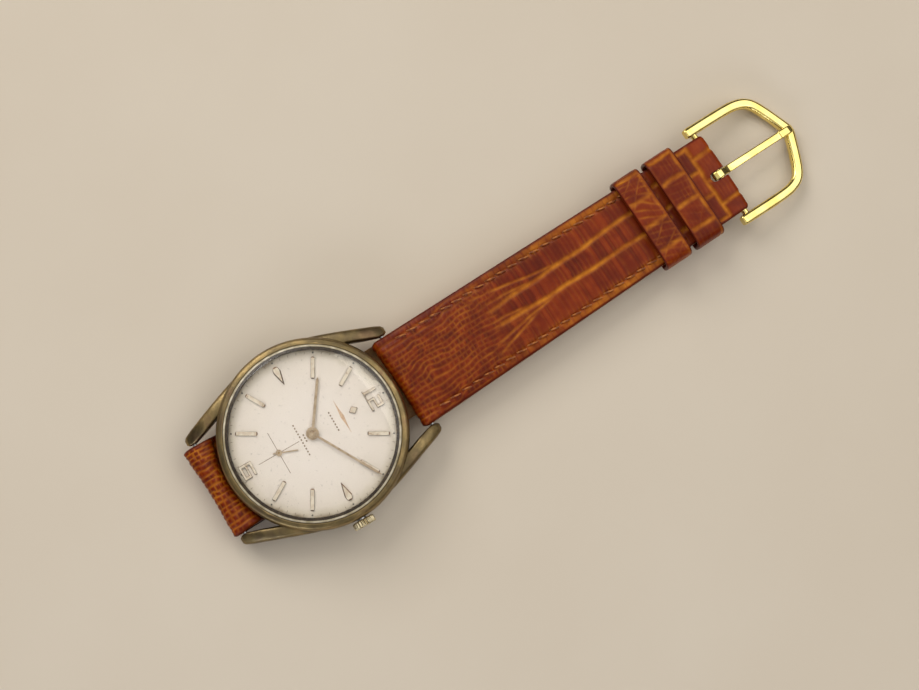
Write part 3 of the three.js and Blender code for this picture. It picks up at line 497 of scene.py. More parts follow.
LUG_STATIONS = [*np.linspace(6, 19.4, 24), 19.9, 20.3, 20.6, 20.8, 20.93, 21.0]
across, tall = soft_square(36, 0.42)
for side in (-1, 1):
    for end in (-1, 1):
        sections = []
        for y in LUG_STATIONS:
            x_in, x_out, top, low = (along(c, y) for c in (LUG_IN, LUG_OUT, LUG_TOP, LUG_LOW))
            x = (x_in + x_out) / 2 + across * (x_out - x_in) / 2
            z = (top + low) / 2 + tall * (top - low) / 2 - 0.25 * np.clip(across, 0, 1) * (tall > 0)
            sections.append(np.stack([side * x, np.full_like(x, end * y), z], 1))
        name = f"lug_{'crown' if side > 0 else 'far'}_{'12' if end > 0 else '6'}"
        lofted(name, sections if side * end < 0 else sections[::-1], "head", PLATE, "worn_plate",
               ("mid_case",))
print("lug tips at y", LUG_STATIONS[-1])

# %% [markdown]
# The crown is a small fluted knob with a slightly domed end. Its flutes are rounded by wear, so
# the rim is a smooth wave and not a set of sharp teeth.

# %% Fluted crown
CROWN_LOW, CROWN_HIGH = (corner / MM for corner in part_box("crown"))
crown_centre, crown_r = mid("crown"), (CROWN_HIGH.z - CROWN_LOW.z) / 2
FLUTES, FLUTE_DEEP, CROWN_SIDES = 22, 0.2, 264
CROWN_RINGS = [(0.0, 0.3, 0), (0.0, 0.86, 0), (0.06, 0.95, 0.7), (0.16, 1.0, 1), (0.5, 1.0, 1),
               (0.84, 1.0, 1), (0.92, 0.96, 0.7), (0.955, 0.86, 0), (0.975, 0.6, 0), (1.0, 0.12, 0)]
turn = full_turn(CROWN_SIDES)
wave = FLUTE_DEEP * (0.5 - 0.5 * np.cos(FLUTES * turn)) ** 1.5
rings = []
for share, reach, fluted in CROWN_RINGS:
    r = crown_r * reach - wave * fluted
    x = np.full_like(turn, CROWN_LOW.x + share * (CROWN_HIGH.x - CROWN_LOW.x))
    rings.append(np.stack([x, crown_centre.y + r * np.cos(turn), crown_centre.z + r * np.sin(turn)], 1))
lofted("fluted_crown", rings, "crown_works", CROWN_METAL, "gilt", ("crown",), 50)
print("crown radius", round(crown_r, 2), "mm,", FLUTES, "flutes")

# %% [markdown]
# ## Dial printing
# Fine lines are printed on the dial: a minute track near the rim, a heavier dot outside each hour,
# a cross for the small seconds, and rows of plain dashes where a maker would sign. Each mark is a thin
# raised shape, since pad printed ink really stands a few hundredths of a millimetre high.

# %% Printed marks
DIAL_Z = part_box("dial")[1].z / MM
INK_HIGH = 0.02


def prisms(outlines, low, high):
    points, faces = [], []
    for outline in outlines:
        start, count = len(points), len(outline)
        points += [(x, y, low) for x, y in outline] + [(x, y, high) for x, y in outline]
        faces.append([start + count + i for i in range(count)])
        faces.append([start + i for i in reversed(range(count))])
        faces += [[start + i, start + (i + 1) % count, start + count + (i + 1) % count,
                   start + count + i] for i in range(count)]
    return points, faces


def printed(name, outlines, material, slot="dial"):
    return piece(name, *prisms(outlines, DIAL_Z, DIAL_Z + INK_HIGH), "head", material, slot)


def spun(outline, hours_angle, about=(0, 0)):
    a = math.radians(hours_angle)
    return [(about[0] + x * math.cos(a) + y * math.sin(a),
             about[1] - x * math.sin(a) + y * math.cos(a)) for x, y in outline]


def bar_shape(half, near, far):
    return [(-half, near), (half, near), (half, far), (-half, far)]


TRACK_IN, TRACK_OUT, TRACK_HALF = 14.55, 14.95, 0.045
track = [spun(bar_shape(TRACK_HALF, TRACK_IN, TRACK_OUT), 6 * i) for i in range(60) if i % 5]
DOT_R, DOT_AT = 0.17, 14.75
dot = [(DOT_R * math.cos(a), DOT_AT + DOT_R * math.sin(a)) for a in full_turn(12)]
printed("minute_track", track, BROWN_INK)
printed("hour_dots", [spun(dot, 30 * i) for i in range(12)], BLACK_INK)
CROSS_IN, CROSS_OUT, CROSS_HALF = 0.5, 4.2, 0.05
SUB_CENTRE = (0, -7)
cross = [spun(bar_shape(CROSS_HALF, CROSS_IN, CROSS_OUT), 90 * i, SUB_CENTRE) for i in range(4)]
DASH_PITCH, DASH_HALF, DASH_TALL = 0.6, 0.16, 0.13
DASH_ROWS = [(4.4, 3), (-1.6, 1), (-2.35, 5)]
dashes = [[(x - DASH_HALF, y - DASH_TALL), (x + DASH_HALF, y - DASH_TALL),
           (x + DASH_HALF, y + DASH_TALL), (x - DASH_HALF, y + DASH_TALL)]
          for y, reach in DASH_ROWS for x in np.arange(-reach, reach + 0.1) * DASH_PITCH]
SPINDLE_Y, SPINDLE_REACH, SPINDLE_HALF = 6.2, 3.3, 0.32
spindle_x = np.linspace(-SPINDLE_REACH, SPINDLE_REACH, 25)
spindle_rise = SPINDLE_HALF * (1 - np.abs(spindle_x) / SPINDLE_REACH) ** 1.5 + 0.03
spindle = [*zip(spindle_x, SPINDLE_Y - spindle_rise),
           *zip(spindle_x[::-1], SPINDLE_Y + spindle_rise[::-1])]
printed("printed_cross", cross, BROWN_INK)
printed("printed_dashes", dashes, BROWN_INK)
printed("printed_spindle", [spindle], COPPER_INK, "gilt")
print("marks:", len(track), "track lines, 12 dots,", len(cross + dashes), "fine marks")

# %% [markdown]
# The applied markers are kept from the model, because their shapes are right. Each gets a faceted
# edge from a bevel, and the bevel faces take a brown copy of the gilt. This painted shade keeps the
# thin edge dark while the top mirrors the light, which is what makes polished markers read as
# outlined. The hands get the same treatment.

# %% Facets on markers and hands
MARKERS = [n for n in NODES if n.startswith(("index_", "numeral_")) or n == "dial_lozenge"]


def facet(node_name, width_mm, angle=30):
    NODES[node_name].modifiers.new("join", "WELD").merge_threshold = 0.001 * MM
    cut = NODES[node_name].modifiers.new("facet", "BEVEL")
    cut.width, cut.segments, cut.limit_method = width_mm * MM, 1, "ANGLE"
    # the bevel faces take slot 1, the brown gilt of painted shade
    cut.angle_limit, cut.material = math.radians(angle), 1
    cut.use_clamp_overlap = "numeral" not in node_name


for marker in MARKERS:
    facet(marker, 0.17 if "index" in marker else 0.075)
for hand in ("hour_hand", "minute_hand", "seconds_hand"):
    facet(hand, 0.08)
print("faceted:", len(MARKERS), "markers and 3 hands")

# %% [markdown]
# ## Leather relief
# The embossing is worked out as numbers before any mesh exists. For a point on the strap, u is the
# way along the leather from the spring bar and x is the place across it, both in millimetres.
# Near the lugs the grain is fine: short scales in long rows. It opens into three long bands
# crossed by ribs, and near the buckle it becomes large staggered scales.

# %% Seeded grain
LATTICE = 64


def random_cells(i, j, seed):
    cells = np.random.default_rng(seed).random((LATTICE, LATTICE))
    return cells[np.asarray(i, int) % LATTICE, np.asarray(j, int) % LATTICE]


def drift(x, y, size, seed):
    gx, gy = x / size, y / size
    ix, iy = np.floor(gx), np.floor(gy)
    fx, fy = smooth_step(0, 1, gx - ix), smooth_step(0, 1, gy - iy)
    near = random_cells(ix, iy, seed) * (1 - fx) + random_cells(ix + 1, iy, seed) * fx
    far = random_cells(ix, iy + 1, seed) * (1 - fx) + random_cells(ix + 1, iy + 1, seed) * fx
    return near * (1 - fy) + far * fy


def groove(offset_mm, half_width):
    return 1 - smooth_step(0, 1, np.abs(offset_mm) / half_width)


def nearest_line(value, pitch):
    return (value / pitch - np.round(value / pitch)) * pitch


print("grain lattice", LATTICE)

# %% [markdown]
# Three grains are mixed along the strap. Each returns how deep a point lies in a line and how dark
# its scale is. The boundaries wander with slow noise, so no line is ruled straight.

# %% Three grains
FINE_ROW, FINE_SCALE = 1.05, 1.0
RIB_PITCH, TILE_LONG, TILE_WIDE = 0.95, 5.6, 4.95
BAND_LINES = [[(14, -1.2), (24, -2.3), (50, -2.9)], [(14, 1.0), (24, 1.3), (50, 1.8)]]
FAN_LINES = [[(17, -6.0), (26, -4.4), (36, -2.7)], [(16, -3.8), (24, -3.2), (31, -2.5)],
             [(15, 4.4), (24, 3.0), (33, 1.6)], [(15, 6.2), (22, 4.4), (29, 2.4)],
             [(15, -0.2), (22, 0.2), (28, 1.2)]]


def fine_grain(u, x, seed):
    x = x + 1.6 * (drift(u, x, 5, seed) - 0.5) + 0.5 * (drift(u, x, 1.6, seed + 7) - 0.5)
    row = np.round(x / FINE_ROW)
    shift = u + 0.9 * random_cells(row, row * 0, seed + 1) + 0.9 * drift(u, x, 1.8, seed + 2)
    rows = groove(np.abs(nearest_line(x, FINE_ROW)) - FINE_ROW / 2, 0.3)
    ends = groove(nearest_line(shift, FINE_SCALE), 0.24)
    rows = rows * (0.55 + 0.6 * drift(u, x, 1.4, seed + 8))
    deep = np.maximum(rows, ends * (0.1 + 0.75 * drift(u, x, 2, seed + 3)))
    return deep, 0.1 + 0.25 * random_cells(row, np.round(shift / FINE_SCALE), seed + 4)


def banded_grain(u, x, half, seed):
    wander = 0.35 * (drift(u, x * 0, 5, seed) - 0.5)
    lines = [groove(x - along(line, u) - wander, 0.75) for line in BAND_LINES]
    fans = [groove(x - along(line, u) - wander, 0.45) * smooth_step(line[-1][0], line[-1][0] - 4, u)
            for line in FAN_LINES]
    first, second = (along(line, u) for line in BAND_LINES)
    edge = half - 1.65
    low = np.where(x < first, -edge, np.where(x < second, first, second))
    high = np.where(x < first, first, np.where(x < second, second, edge))
    share = np.clip((x - low) / np.maximum(high - low, 0.1), 0, 1) * 2 - 1
    lane = np.where(x < first, 0, np.where(x < second, 1, 2))
    shift = u + 0.2 * share ** 2 + 1.3 * drift(u, lane * 7.3, 2.5, seed + 1) + 1.37 * lane
    ribs = groove(nearest_line(shift, RIB_PITCH), 0.3)
    ribs = ribs * (0.1 + 0.65 * share ** 4) * (0.3 + 1.1 * drift(u, x, 1.8, seed + 2))
    deep = np.maximum.reduce([*lines, *[0.75 * f for f in fans], np.clip(ribs, 0, 0.6), 0.22 * share ** 4])
    tone = 0.3 * random_cells(np.round(shift / RIB_PITCH), lane, seed + 3) + 0.1
    return deep, tone


def tiled_grain(u, x, seed, crinkled=0.0):
    x = x + 0.5 * (drift(u, x, 3, seed) - 0.5)
    u = u + 0.6 * (drift(u, x, 3.5, seed + 1) - 0.5)
    row = np.floor(u / TILE_LONG)
    x = x + TILE_WIDE / 2 * (row % 2)
    deep = np.maximum(groove(nearest_line(x, TILE_WIDE), 0.75),
                      groove(nearest_line(u, TILE_LONG), 0.75))
    ribs = groove(nearest_line(u + 0.3 * drift(u, x, 2, seed + 2), 0.8), 0.22)
    deep = np.maximum(deep, 0.22 * ribs * drift(u, x, 2.2, seed + 3))
    bent = 1.6 * drift(u, x, 4.0, seed + 4)
    creases = groove(nearest_line(1.0 * x + 0.35 * u + bent, 1.35), 0.3) * drift(x, u, 1.8, seed + 5)
    cross = groove(nearest_line(0.8 * x - 0.75 * u + bent, 2.6), 0.28) * drift(x, u, 2.4, seed + 6)
    deep = deep * (1 - 0.7 * crinkled) + crinkled * 1.2 * np.maximum(creases, 0.7 * cross)
    return np.clip(deep, 0, 1), 0.15 + 0.35 * random_cells(row, np.floor(x / TILE_WIDE), seed + 7)


print("scales:", FINE_SCALE, "mm fine,", RIB_PITCH, "mm ribs,", TILE_LONG, "mm tiles")

# %% [markdown]
# The strap adds its own form to the grain: a seam groove inside each edge, a plain golden margin
# outside it, and a dark painted edge. The result is a height in millimetres with the two colour
# numbers, for any array of points.

# %% Strap relief
SEAM_IN, LINE_DEEP = 1.65, 0.2


def strap_relief(u, x, half, seed, fine_strength):
    blur = 9 * (drift(u, x, 3.0, seed + 20) - 0.5)
    to_bands = smooth_step(15, 25, u + blur)
    to_tiles = smooth_step(57.5, 58.5, u)
    fine, fine_tone = fine_grain(u, x, seed)
    grains = zip((fine * fine_strength, fine_tone), banded_grain(u, x, half, seed + 6),
                 tiled_grain(u, x, seed + 12))
    deep, tone = ((short * (1 - to_bands) + band * to_bands) * (1 - to_tiles) + tile * to_tiles
                  for short, band, tile in grains)
    from_edge = half - np.abs(x)
    margin = (1 - smooth_step(SEAM_IN - 0.35, SEAM_IN - 0.1, from_edge)) * to_bands
    margin = margin * (1 - smooth_step(52, 54, u))
    cracks = groove(nearest_line(u + 0.7 * drift(u, x, 1.5, seed + 21), 1.3), 0.2)
    golden = 0.25 + 0.4 * smooth_step(24, 38, u) + 0.3 * (drift(u, x, 1.5, seed + 22) - 0.5)
    golden = golden - 0.3 * cracks
    valley = deep * (1 - margin) + np.clip(golden, 0, 1) * margin
    painted = 1 - smooth_step(0.25, 0.6, from_edge)
    height = -LINE_DEEP * (deep * (1 - margin) + 0.3 * cracks * margin)
    height = height - 0.16 * groove(from_edge - SEAM_IN, 0.5) * (u < 58)
    return height, valley * (1 - painted), tone * (1 - 0.8 * painted)


print("line depth", LINE_DEEP, "mm")

# %% [markdown]
# ## Strap halves
# A strap half is a grid: one direction runs round its side outline, over the top, round the end and
# back underneath, and the other runs across. At both edges the outline shrinks onto the middle
# of the leather in small steps, which rounds the cut edge. The outer face takes the relief, and the
# underside is plain lining.

# %% Side outlines and the strip builder
def rounded(outline, times=2, closed=True):
    points = np.asarray(outline, float)
    for _ in range(times):
        after = np.roll(points, -1, 0)
        cut = np.stack([0.75 * points + 0.25 * after, 0.25 * points + 0.75 * after], 1)
        points = cut.reshape(-1, 2) if closed else np.vstack(
            [points[:1], cut[:-1].reshape(-1, 2), points[-1:]])
    return points


def resampled(outline, step_of, closed=True):
    points = np.vstack([outline, outline[:1]]) if closed else np.asarray(outline)
    length = np.concatenate([[0], np.cumsum(np.hypot(*np.diff(points, axis=0).T))])
    spots, at = [0.0], 0.0
    while True:
        here = [np.interp(at, length, points[:, k]) for k in (0, 1)]
        at += step_of(*here)
        if at >= length[-1] - 0.05:
            break
        spots.append(at)
    spots = np.array(spots)
    return np.stack([np.interp(spots, length, points[:, k]) for k in (0, 1)], 1), spots


def outward(outline):
    ahead, behind = np.roll(outline, -1, 0), np.roll(outline, 1, 0)
    way = (ahead - behind) / np.maximum(np.hypot(*(ahead - behind).T), 1e-9)[:, None]
    return np.stack([way[:, 1], -way[:, 0]], 1)


def nearest_on(path, points):
    best, gap = np.zeros_like(points), np.full(len(points), 1e9)
    for a, b in zip(path[:-1], path[1:]):
        a, b = np.array(a), np.array(b)
        t = np.clip(((points - a) @ (b - a)) / ((b - a) @ (b - a)), 0, 1)[:, None]
        spot = a + t * (b - a)
        away = np.hypot(*(points - spot).T)
        best[away < gap] = spot[away < gap]
        gap = np.minimum(gap, away)
    return best


def on_strap(points, bar_y, swing):
    a = math.radians(swing)
    x, y, z = np.asarray(points, float).reshape(-1, 3).T
    return np.stack([x * math.cos(a) - y * math.sin(a),
                     bar_y + x * math.sin(a) + y * math.cos(a), z], 1)


def leather_piece(name, columns, way, body, stands_for, wrap_columns=False):
    grid = np.stack(columns, 1)
    flat = grid.reshape(-1, 6)
    traits = dict(zip(("valley", "tone", "painted"), flat[:, 3:].T))
    print(name, len(flat), "points")
    return piece(name, on_strap(flat[:, :3], *way), grid_faces(*grid.shape[:2], True, wrap_columns),
                 body, LEATHER, "leather", stands_for, 60, traits)


EDGE_STEPS = [(0.0, 0.36), (0.1, 0.14), (0.26, 0.04), (0.62, 0.0), (1.0, 0.02)]
print("edge rounded in", len(EDGE_STEPS), "steps")

# %% Strip builder
def leather_strip(name, outline, spine, half_at, u_of, outer_of, crown_of, step_of, way, body,
                  stands_for, seed, fine_strength, hollow_of, cells=84):
    edge, spots = resampled(rounded(outline), step_of)
    normal, middle = outward(edge), nearest_on(spine, edge)
    half = half_at(edge[:, 0])
    u, outer = u_of(edge, spots), outer_of(edge, spots)
    inner_x = np.linspace(-1, 1, cells)
    columns = [(-1, *step) for step in reversed(EDGE_STEPS[1:])]
    columns += [(x, *EDGE_STEPS[0]) for x in inner_x] + [(1, *step) for step in EDGE_STEPS[1:]]
    grids = []
    for share, shrink, inset in columns:
        x = share * np.maximum(half - inset, 0.15)
        height, valley, tone = strap_relief(u, x, half, seed, fine_strength)
        lift = (height - crown_of(edge[:, 0], x, half)) * outer
        rim = edge + normal * lift[:, None]
        rim = rim * (1 - shrink) + middle * shrink
        rim[:, 0] += (x / half) ** 2 * hollow_of(rim[:, 0])
        painted = 1.0 if shrink > 0.2 else 0.0
        grids.append(np.stack([x, rim[:, 0], rim[:, 1], valley * (1 - painted),
                               tone * (1 - painted), np.full_like(x, painted)], 1))
    made = leather_piece(name, grids, way, body, stands_for)
    made.data.materials.append(LINING)
    lined = np.repeat((outer < 0.5).astype(int), len(columns) - 1)
    made.data.polygons.foreach_set("material_index", lined)

    def surface(at_u, x):
        row = int(np.argmin(np.abs(u - at_u) + 1e3 * (outer < 0.5)))
        height = strap_relief(np.array([at_u]), np.array([x]), half[row], seed, fine_strength)[0][0]
        lift = height - crown_of(edge[row:row + 1, 0], np.array([x]), half[row:row + 1])[0]
        spot = edge[row] + normal[row] * lift
        return np.array([x, *spot]), np.array([0, *normal[row]]), half[row]

    return made, surface


def cut_out(made, shapes, low, high):
    cutter = placed("cutter", mesh_of("cutter", *prisms(shapes, low, high)))
    cut = made.modifiers.new("cut", "BOOLEAN")
    cut.operation, cut.solver, cut.object = "DIFFERENCE", "EXACT", cutter
    shown = made.evaluated_get(bpy.context.evaluated_depsgraph_get())
    made.data = bpy.data.meshes.new_from_object(shown)
    made.modifiers.clear()
    bpy.data.objects.remove(cutter)
    print(made.name, "after cutting:", len(made.data.vertices), "points")


# %% [markdown]
# The buckle half leaves its spring bar fat, where padding lies under the leather, and thins to
# the buckle. The outer leather is wrapped round the bar, so the loop has the same grain. A slot at
# the far end leaves room for the tongue.

# %% Buckle half of the strap
BAR_Y, BAR_Z = 19.8, 4.8
UPPER_WAY, LOWER_WAY = (BAR_Y, 3.3), (-BAR_Y, 2.1)
REACH, END_Y, LOOP_R, FULL_HALF, END_HALF, END_CURVE = 70.3, 71.75, 1.9, 9.15, 8.1, 0.5


def loop_arc(start, stop):
    return [(LOOP_R * math.cos(math.radians(a)), BAR_Z + LOOP_R * math.sin(math.radians(a)))
            for a in range(start, stop + 1, 20)]


UPPER_SIDE = [*loop_arc(90, 270), (4.2, BAR_Z - 1.8), (10, BAR_Z - 1.75), (24, BAR_Z - 1.3),
              (50, BAR_Z - 1.26), (REACH, BAR_Z - 1.25), (END_Y - 0.3, BAR_Z - 0.8), (END_Y, BAR_Z),
              (END_Y - 0.3, BAR_Z + 0.8), (REACH, BAR_Z + 1.25), (50, BAR_Z + 1.26),
              (24, BAR_Z + 1.32), (10, BAR_Z + 1.77), (4.2, BAR_Z + 1.87)]


def upper_half(y):
    narrowing = np.interp(y, [-1.3, END_Y], [FULL_HALF, END_HALF])
    return narrowing - 0.15 * smooth_step(-1.2, -1.9, y) - 0.35 * smooth_step(END_Y - 0.6, END_Y, y)


def upper_u(edge, spots):
    total = spots[-1]
    return np.where(spots < total * 0.1, -spots, total - spots)


def upper_outer(edge, spots):
    top = (edge[:, 1] > BAR_Z) | (edge[:, 0] < 1.5)
    return top.astype(float)


def upper_crown(y, x, half):
    pad = np.interp(y, [-2, 2, 12, 26, 60, 72], [0.2, 0.75, 0.8, 0.35, 0.2, 0.12])
    return pad * (np.abs(x) / half) ** 3.2


strap_upper, upper_surface = leather_strip(
    "strap_upper_leather", UPPER_SIDE, [(0, BAR_Z), (REACH + 0.4, BAR_Z)], upper_half, upper_u,
    upper_outer, upper_crown, lambda y, z: 0.2 if z > BAR_Z or y < 1.5 else 0.9, UPPER_WAY,
    "strap_12", ("strap_buckle_side",), 11, 0.45,
    lambda y: -END_CURVE * smooth_step(2.5, -1.0, y))
NOTCH_HALF, NOTCH_FROM = 0.88, 68.2
CUT_LOW, CUT_HIGH = 1, 9
notch = [(-NOTCH_HALF, NOTCH_FROM + 0.6), (-0.6, NOTCH_FROM + 0.15), (0, NOTCH_FROM),
         (0.6, NOTCH_FROM + 0.15), (NOTCH_HALF, NOTCH_FROM + 0.6), (NOTCH_HALF, END_Y + 2),
         (-NOTCH_HALF, END_Y + 2)]
cut_out(strap_upper, [on_strap([(x, y, 0) for x, y in notch], *UPPER_WAY)[:, :2]], CUT_LOW, CUT_HIGH)

# %% [markdown]
# The holed half wraps over its own bar, turns under the head and lies flat on the table, so its
# grained face is below and its lining faces the case back. Seven punched holes run down its middle.

# %% Holed half of the strap
TAIL_LENGTH, TAIL_THICK, TAIL_HALF, NARROW_FROM, TIP_LONG = 107.5, 2.2, 7.6, 20, 8
LOWER_SIDE = [(2.0, 3.9), (2.05, 5.2), (1.5, 6.3), (0.3, 6.75), (-1.0, 6.5), (-1.75, 5.8),
              (-2.05, 4.7), (-1.95, 3.5), (-1.4, 2.1), (0.1, 1.0), (1.8, 0.3), (3.4, 0.03), (5.4, 0.01),
              (TAIL_LENGTH - 2, 0.01), (TAIL_LENGTH, 0.3), (TAIL_LENGTH, 1.9),
              (TAIL_LENGTH - 2, TAIL_THICK), (5.4, TAIL_THICK), (3.4, 2.6), (2.3, 3.3)]
LOOP_TOP_AT, CASE_CURVE, REAR_CURVE = 3.6, 2.0, 0.6


def lower_half(y):
    tip = np.clip((y - (TAIL_LENGTH - TIP_LONG)) / TIP_LONG, 0, 0.998)
    narrowing = np.interp(y, [-1.3, 6, NARROW_FROM], [FULL_HALF, 8.8, TAIL_HALF])
    return narrowing * (1 - tip ** 1.7) ** 0.62


def lower_outer(edge, spots):
    turned_back = int(np.argmax(edge[:, 0]))
    wrapped = (edge[:, 1] > 2.7) & (edge[:, 0] < 3)
    return (wrapped | ((spots > 0) & (spots <= spots[turned_back]))).astype(float)


strap_lower, lower_surface = leather_strip(
    "strap_lower_leather", LOWER_SIDE, [(0, BAR_Z), (2.6, 2.1), (5, 1.1), (TAIL_LENGTH - 0.9, 1.1)],
    lower_half, lambda edge, spots: spots - LOOP_TOP_AT, lower_outer,
    lambda y, x, half: 0.3 * (np.abs(x) / half) ** 6 * smooth_step(4, 0, y),
    lambda y, z: 0.2 if y < 6 else (0.33 if z < 1 else 0.9), LOWER_WAY, "strap_6",
    ("strap_tail_side",), 47, 1.0,
    lambda y: (CASE_CURVE * smooth_step(0.2, 1.8, y) * smooth_step(6, 3.4, y)
               - REAR_CURVE * smooth_step(-0.4, -1.4, y)))
HOLE_R, HOLE_PITCH, FIRST_HOLE, HOLES = 0.9, 6.2, 55, 7
punched = [on_strap([(HOLE_R * math.cos(a), FIRST_HOLE + HOLE_PITCH * i + HOLE_R * math.sin(a), 0)
                     for a in full_turn(24)], *LOWER_WAY)[:, :2] for i in range(HOLES)]
cut_out(strap_lower, punched, -1, TAIL_THICK + 1.8)

# %% [markdown]
# Two seams run along each half. Every stitch is its own short bent tube that dips into the
# leather at both ends, and each slants a little, as a saddle stitch does.

# %% Seams
STITCH_PITCH, STITCH_LONG, THREAD_R, THREAD_SIDES, THREAD_STEPS = 2.45, 1.95, 0.15, 7, 7
UPPER_SEAM, LOWER_SEAM = (3.6, 57), (6.5, 98)


def seam(name, surface, spans, way, body):
    points, faces = [], []
    for side in (-1, 1):
        for start in spans:
            first = len(points)
            for t in np.linspace(-1, 1, THREAD_STEPS):
                spot, up, half = surface(start + t * STITCH_LONG / 2, 0.0)
                spot = np.array([side * (half - SEAM_IN) + 0.2 * t, *spot[1:]])
                centre = spot + up * (THREAD_R * 0.75 - 0.42 * abs(t) ** 3)
                fat = THREAD_R * (1 - 0.35 * abs(t) ** 4)
                points += [centre + fat * (math.cos(a) * np.array([1, 0, 0]) + math.sin(a) * up)
                           for a in full_turn(THREAD_SIDES)]
            faces += grid_faces(THREAD_STEPS, THREAD_SIDES, wrap_columns=True, start=first)
            faces += [[first + c for c in range(THREAD_SIDES)][::-1],
                      [first + (THREAD_STEPS - 1) * THREAD_SIDES + c for c in range(THREAD_SIDES)]]
    piece(name, on_strap(points, *way), faces, body, THREAD, "leather", (), 60)
    print(name, 2 * len(spans), "stitches")


seam("upper_seams", upper_surface, np.arange(*UPPER_SEAM, STITCH_PITCH), UPPER_WAY, "strap_12")
seam("lower_seams", lower_surface, np.arange(*LOWER_SEAM, STITCH_PITCH), LOWER_WAY, "strap_6")

# %% [markdown]
# ## Keepers
# A keeper is a band of the same leather folded round the strap. Its outline follows the model's
# band with soft corners, and its own section is a flat strip with rounded edges. The fixed keeper
# has crisp scales, while the sliding one is creased from being pushed up and down.

# %% Keeper bands
KEEPER_WALL, KEEPER_Z, KEEPER_TOP = 0.75, 2.45, 8.55
BAND_OUTLINE = [(-8.9, KEEPER_Z), (0, KEEPER_Z), (8.9, KEEPER_Z), (9.6, 3.3), (9.6, 6.9),
                (8.5, 8.25), (5.5, 8.5), (0, KEEPER_TOP), (-5.5, 8.5), (-8.5, 8.25), (-9.6, 6.9),
                (-9.6, 3.3)]
STRIP_ROUND = [(0.0, 0.35), (0.06, 0.16), (0.2, 0.03), (0.5, 0.0), (0.8, 0.03), (0.94, 0.16),
               (1.0, 0.35)]


def keeper(name, near, far, body, stands_for, seed, crinkled):
    path, spots = resampled(rounded(BAND_OUTLINE, 3), lambda x, z: 0.2 if z > 4 else 0.4)
    normal = outward(path)
    face = np.arange(near + 0.4, far - 0.35, 0.2)
    strip = [(y, 0.0) for y in face] + [(far - inset, deep) for deep, inset in STRIP_ROUND]
    strip += [(near + inset, deep) for deep, inset in reversed(STRIP_ROUND)]
    rings = []
    for y, deep in strip:
        valley, tone = tiled_grain(np.full_like(spots, y - far + 0.3), spots, seed, crinkled)
        rim = smooth_step(0.25, 0.7, min(y - near, far - y))
        valley, worn = valley * (rim + 0.4 * (1 - rim)), 1.0 if deep == 0 else 0.0
        height = -0.2 * valley * worn - KEEPER_WALL * deep
        height = height + 0.08 * (drift(spots, spots * 0 + y, 5, seed + 9) - 0.5) * worn
        spot = path + normal * height[:, None]
        rings.append(np.stack([spot[:, 0], np.full_like(spots, y), spot[:, 1], valley * worn,
                               tone * worn, np.full_like(spots, 1.0 - worn) * (0.2 < deep < 0.8)], 1))
    leather_piece(name, rings, UPPER_WAY, body, stands_for, wrap_columns=True)


keeper("sliding_keeper_leather", END_Y - 20, END_Y - 14.4, "loose_keeper", ("sliding_keeper",), 71,
       0.6)
keeper("fixed_keeper_leather", END_Y - 12.9, END_Y - 7.1, "strap_12", ("fixed_keeper",), 95, 0.15)

# %% [markdown]
# ## Buckle
# The buckle is one bar of gilt brass bent into an arch with a low point at its front, and its arms
# hold a pin. A rounded section is swept along the middle line of the arch. The whole buckle droops
# a little, so that its front edge meets the table.

# %% Buckle frame and tongue
BUCKLE_TILT = 12.5


def on_buckle(points):
    a = math.radians(-BUCKLE_TILT)
    x, y, z = np.asarray(points, float).reshape(-1, 3).T
    tipped = np.stack([x, REACH + y * math.cos(a) - z * math.sin(a),
                       BAR_Z + y * math.sin(a) + z * math.cos(a)], 1)
    return on_strap(tipped, *UPPER_WAY)


ARCH = [(9.72, -1.5), (9.74, 1.5), (9.75, 5.0), (9.7, 8.6), (9.5, 10.6), (8.9, 12.3),
        (7.7, 13.7), (4.4, 15.25), (1.0, 16.6), (0, 16.92)]
FRAME_WIDE, FRAME_TALL = 2.0, 0.9
half_path = np.array(ARCH)
path = rounded(np.vstack([half_path, half_path[-2::-1] * (-1, 1)]), closed=False)
path, _ = resampled(path, lambda x, y: 0.35, closed=False)
way_on = np.gradient(path, axis=0)
way_on = way_on / np.hypot(*way_on.T)[:, None]
side_on = np.stack([way_on[:, 1], -way_on[:, 0]], 1)
across, tall = soft_square(28, 0.62)
sections, reach_count = [], len(path)
for i, (spot, out) in enumerate(zip(path, side_on)):
    from_end = min(i, reach_count - 1 - i)
    tight = [0.84, 0.94, 0.985][from_end] if from_end < 3 else 1.0
    wide = FRAME_WIDE / 2 * (1 + 0.07 * smooth_step(3.0, 0.0, abs(spot[0])))
    x, y = (spot[k] + out[k] * across * wide * tight for k in (0, 1))
    sections.append(on_buckle(np.stack([x, y, tall * FRAME_TALL * tight], 1)))
lofted("buckle_arch", sections, "buckle", GOLD, "gold", ("buckle_frame",), 50)

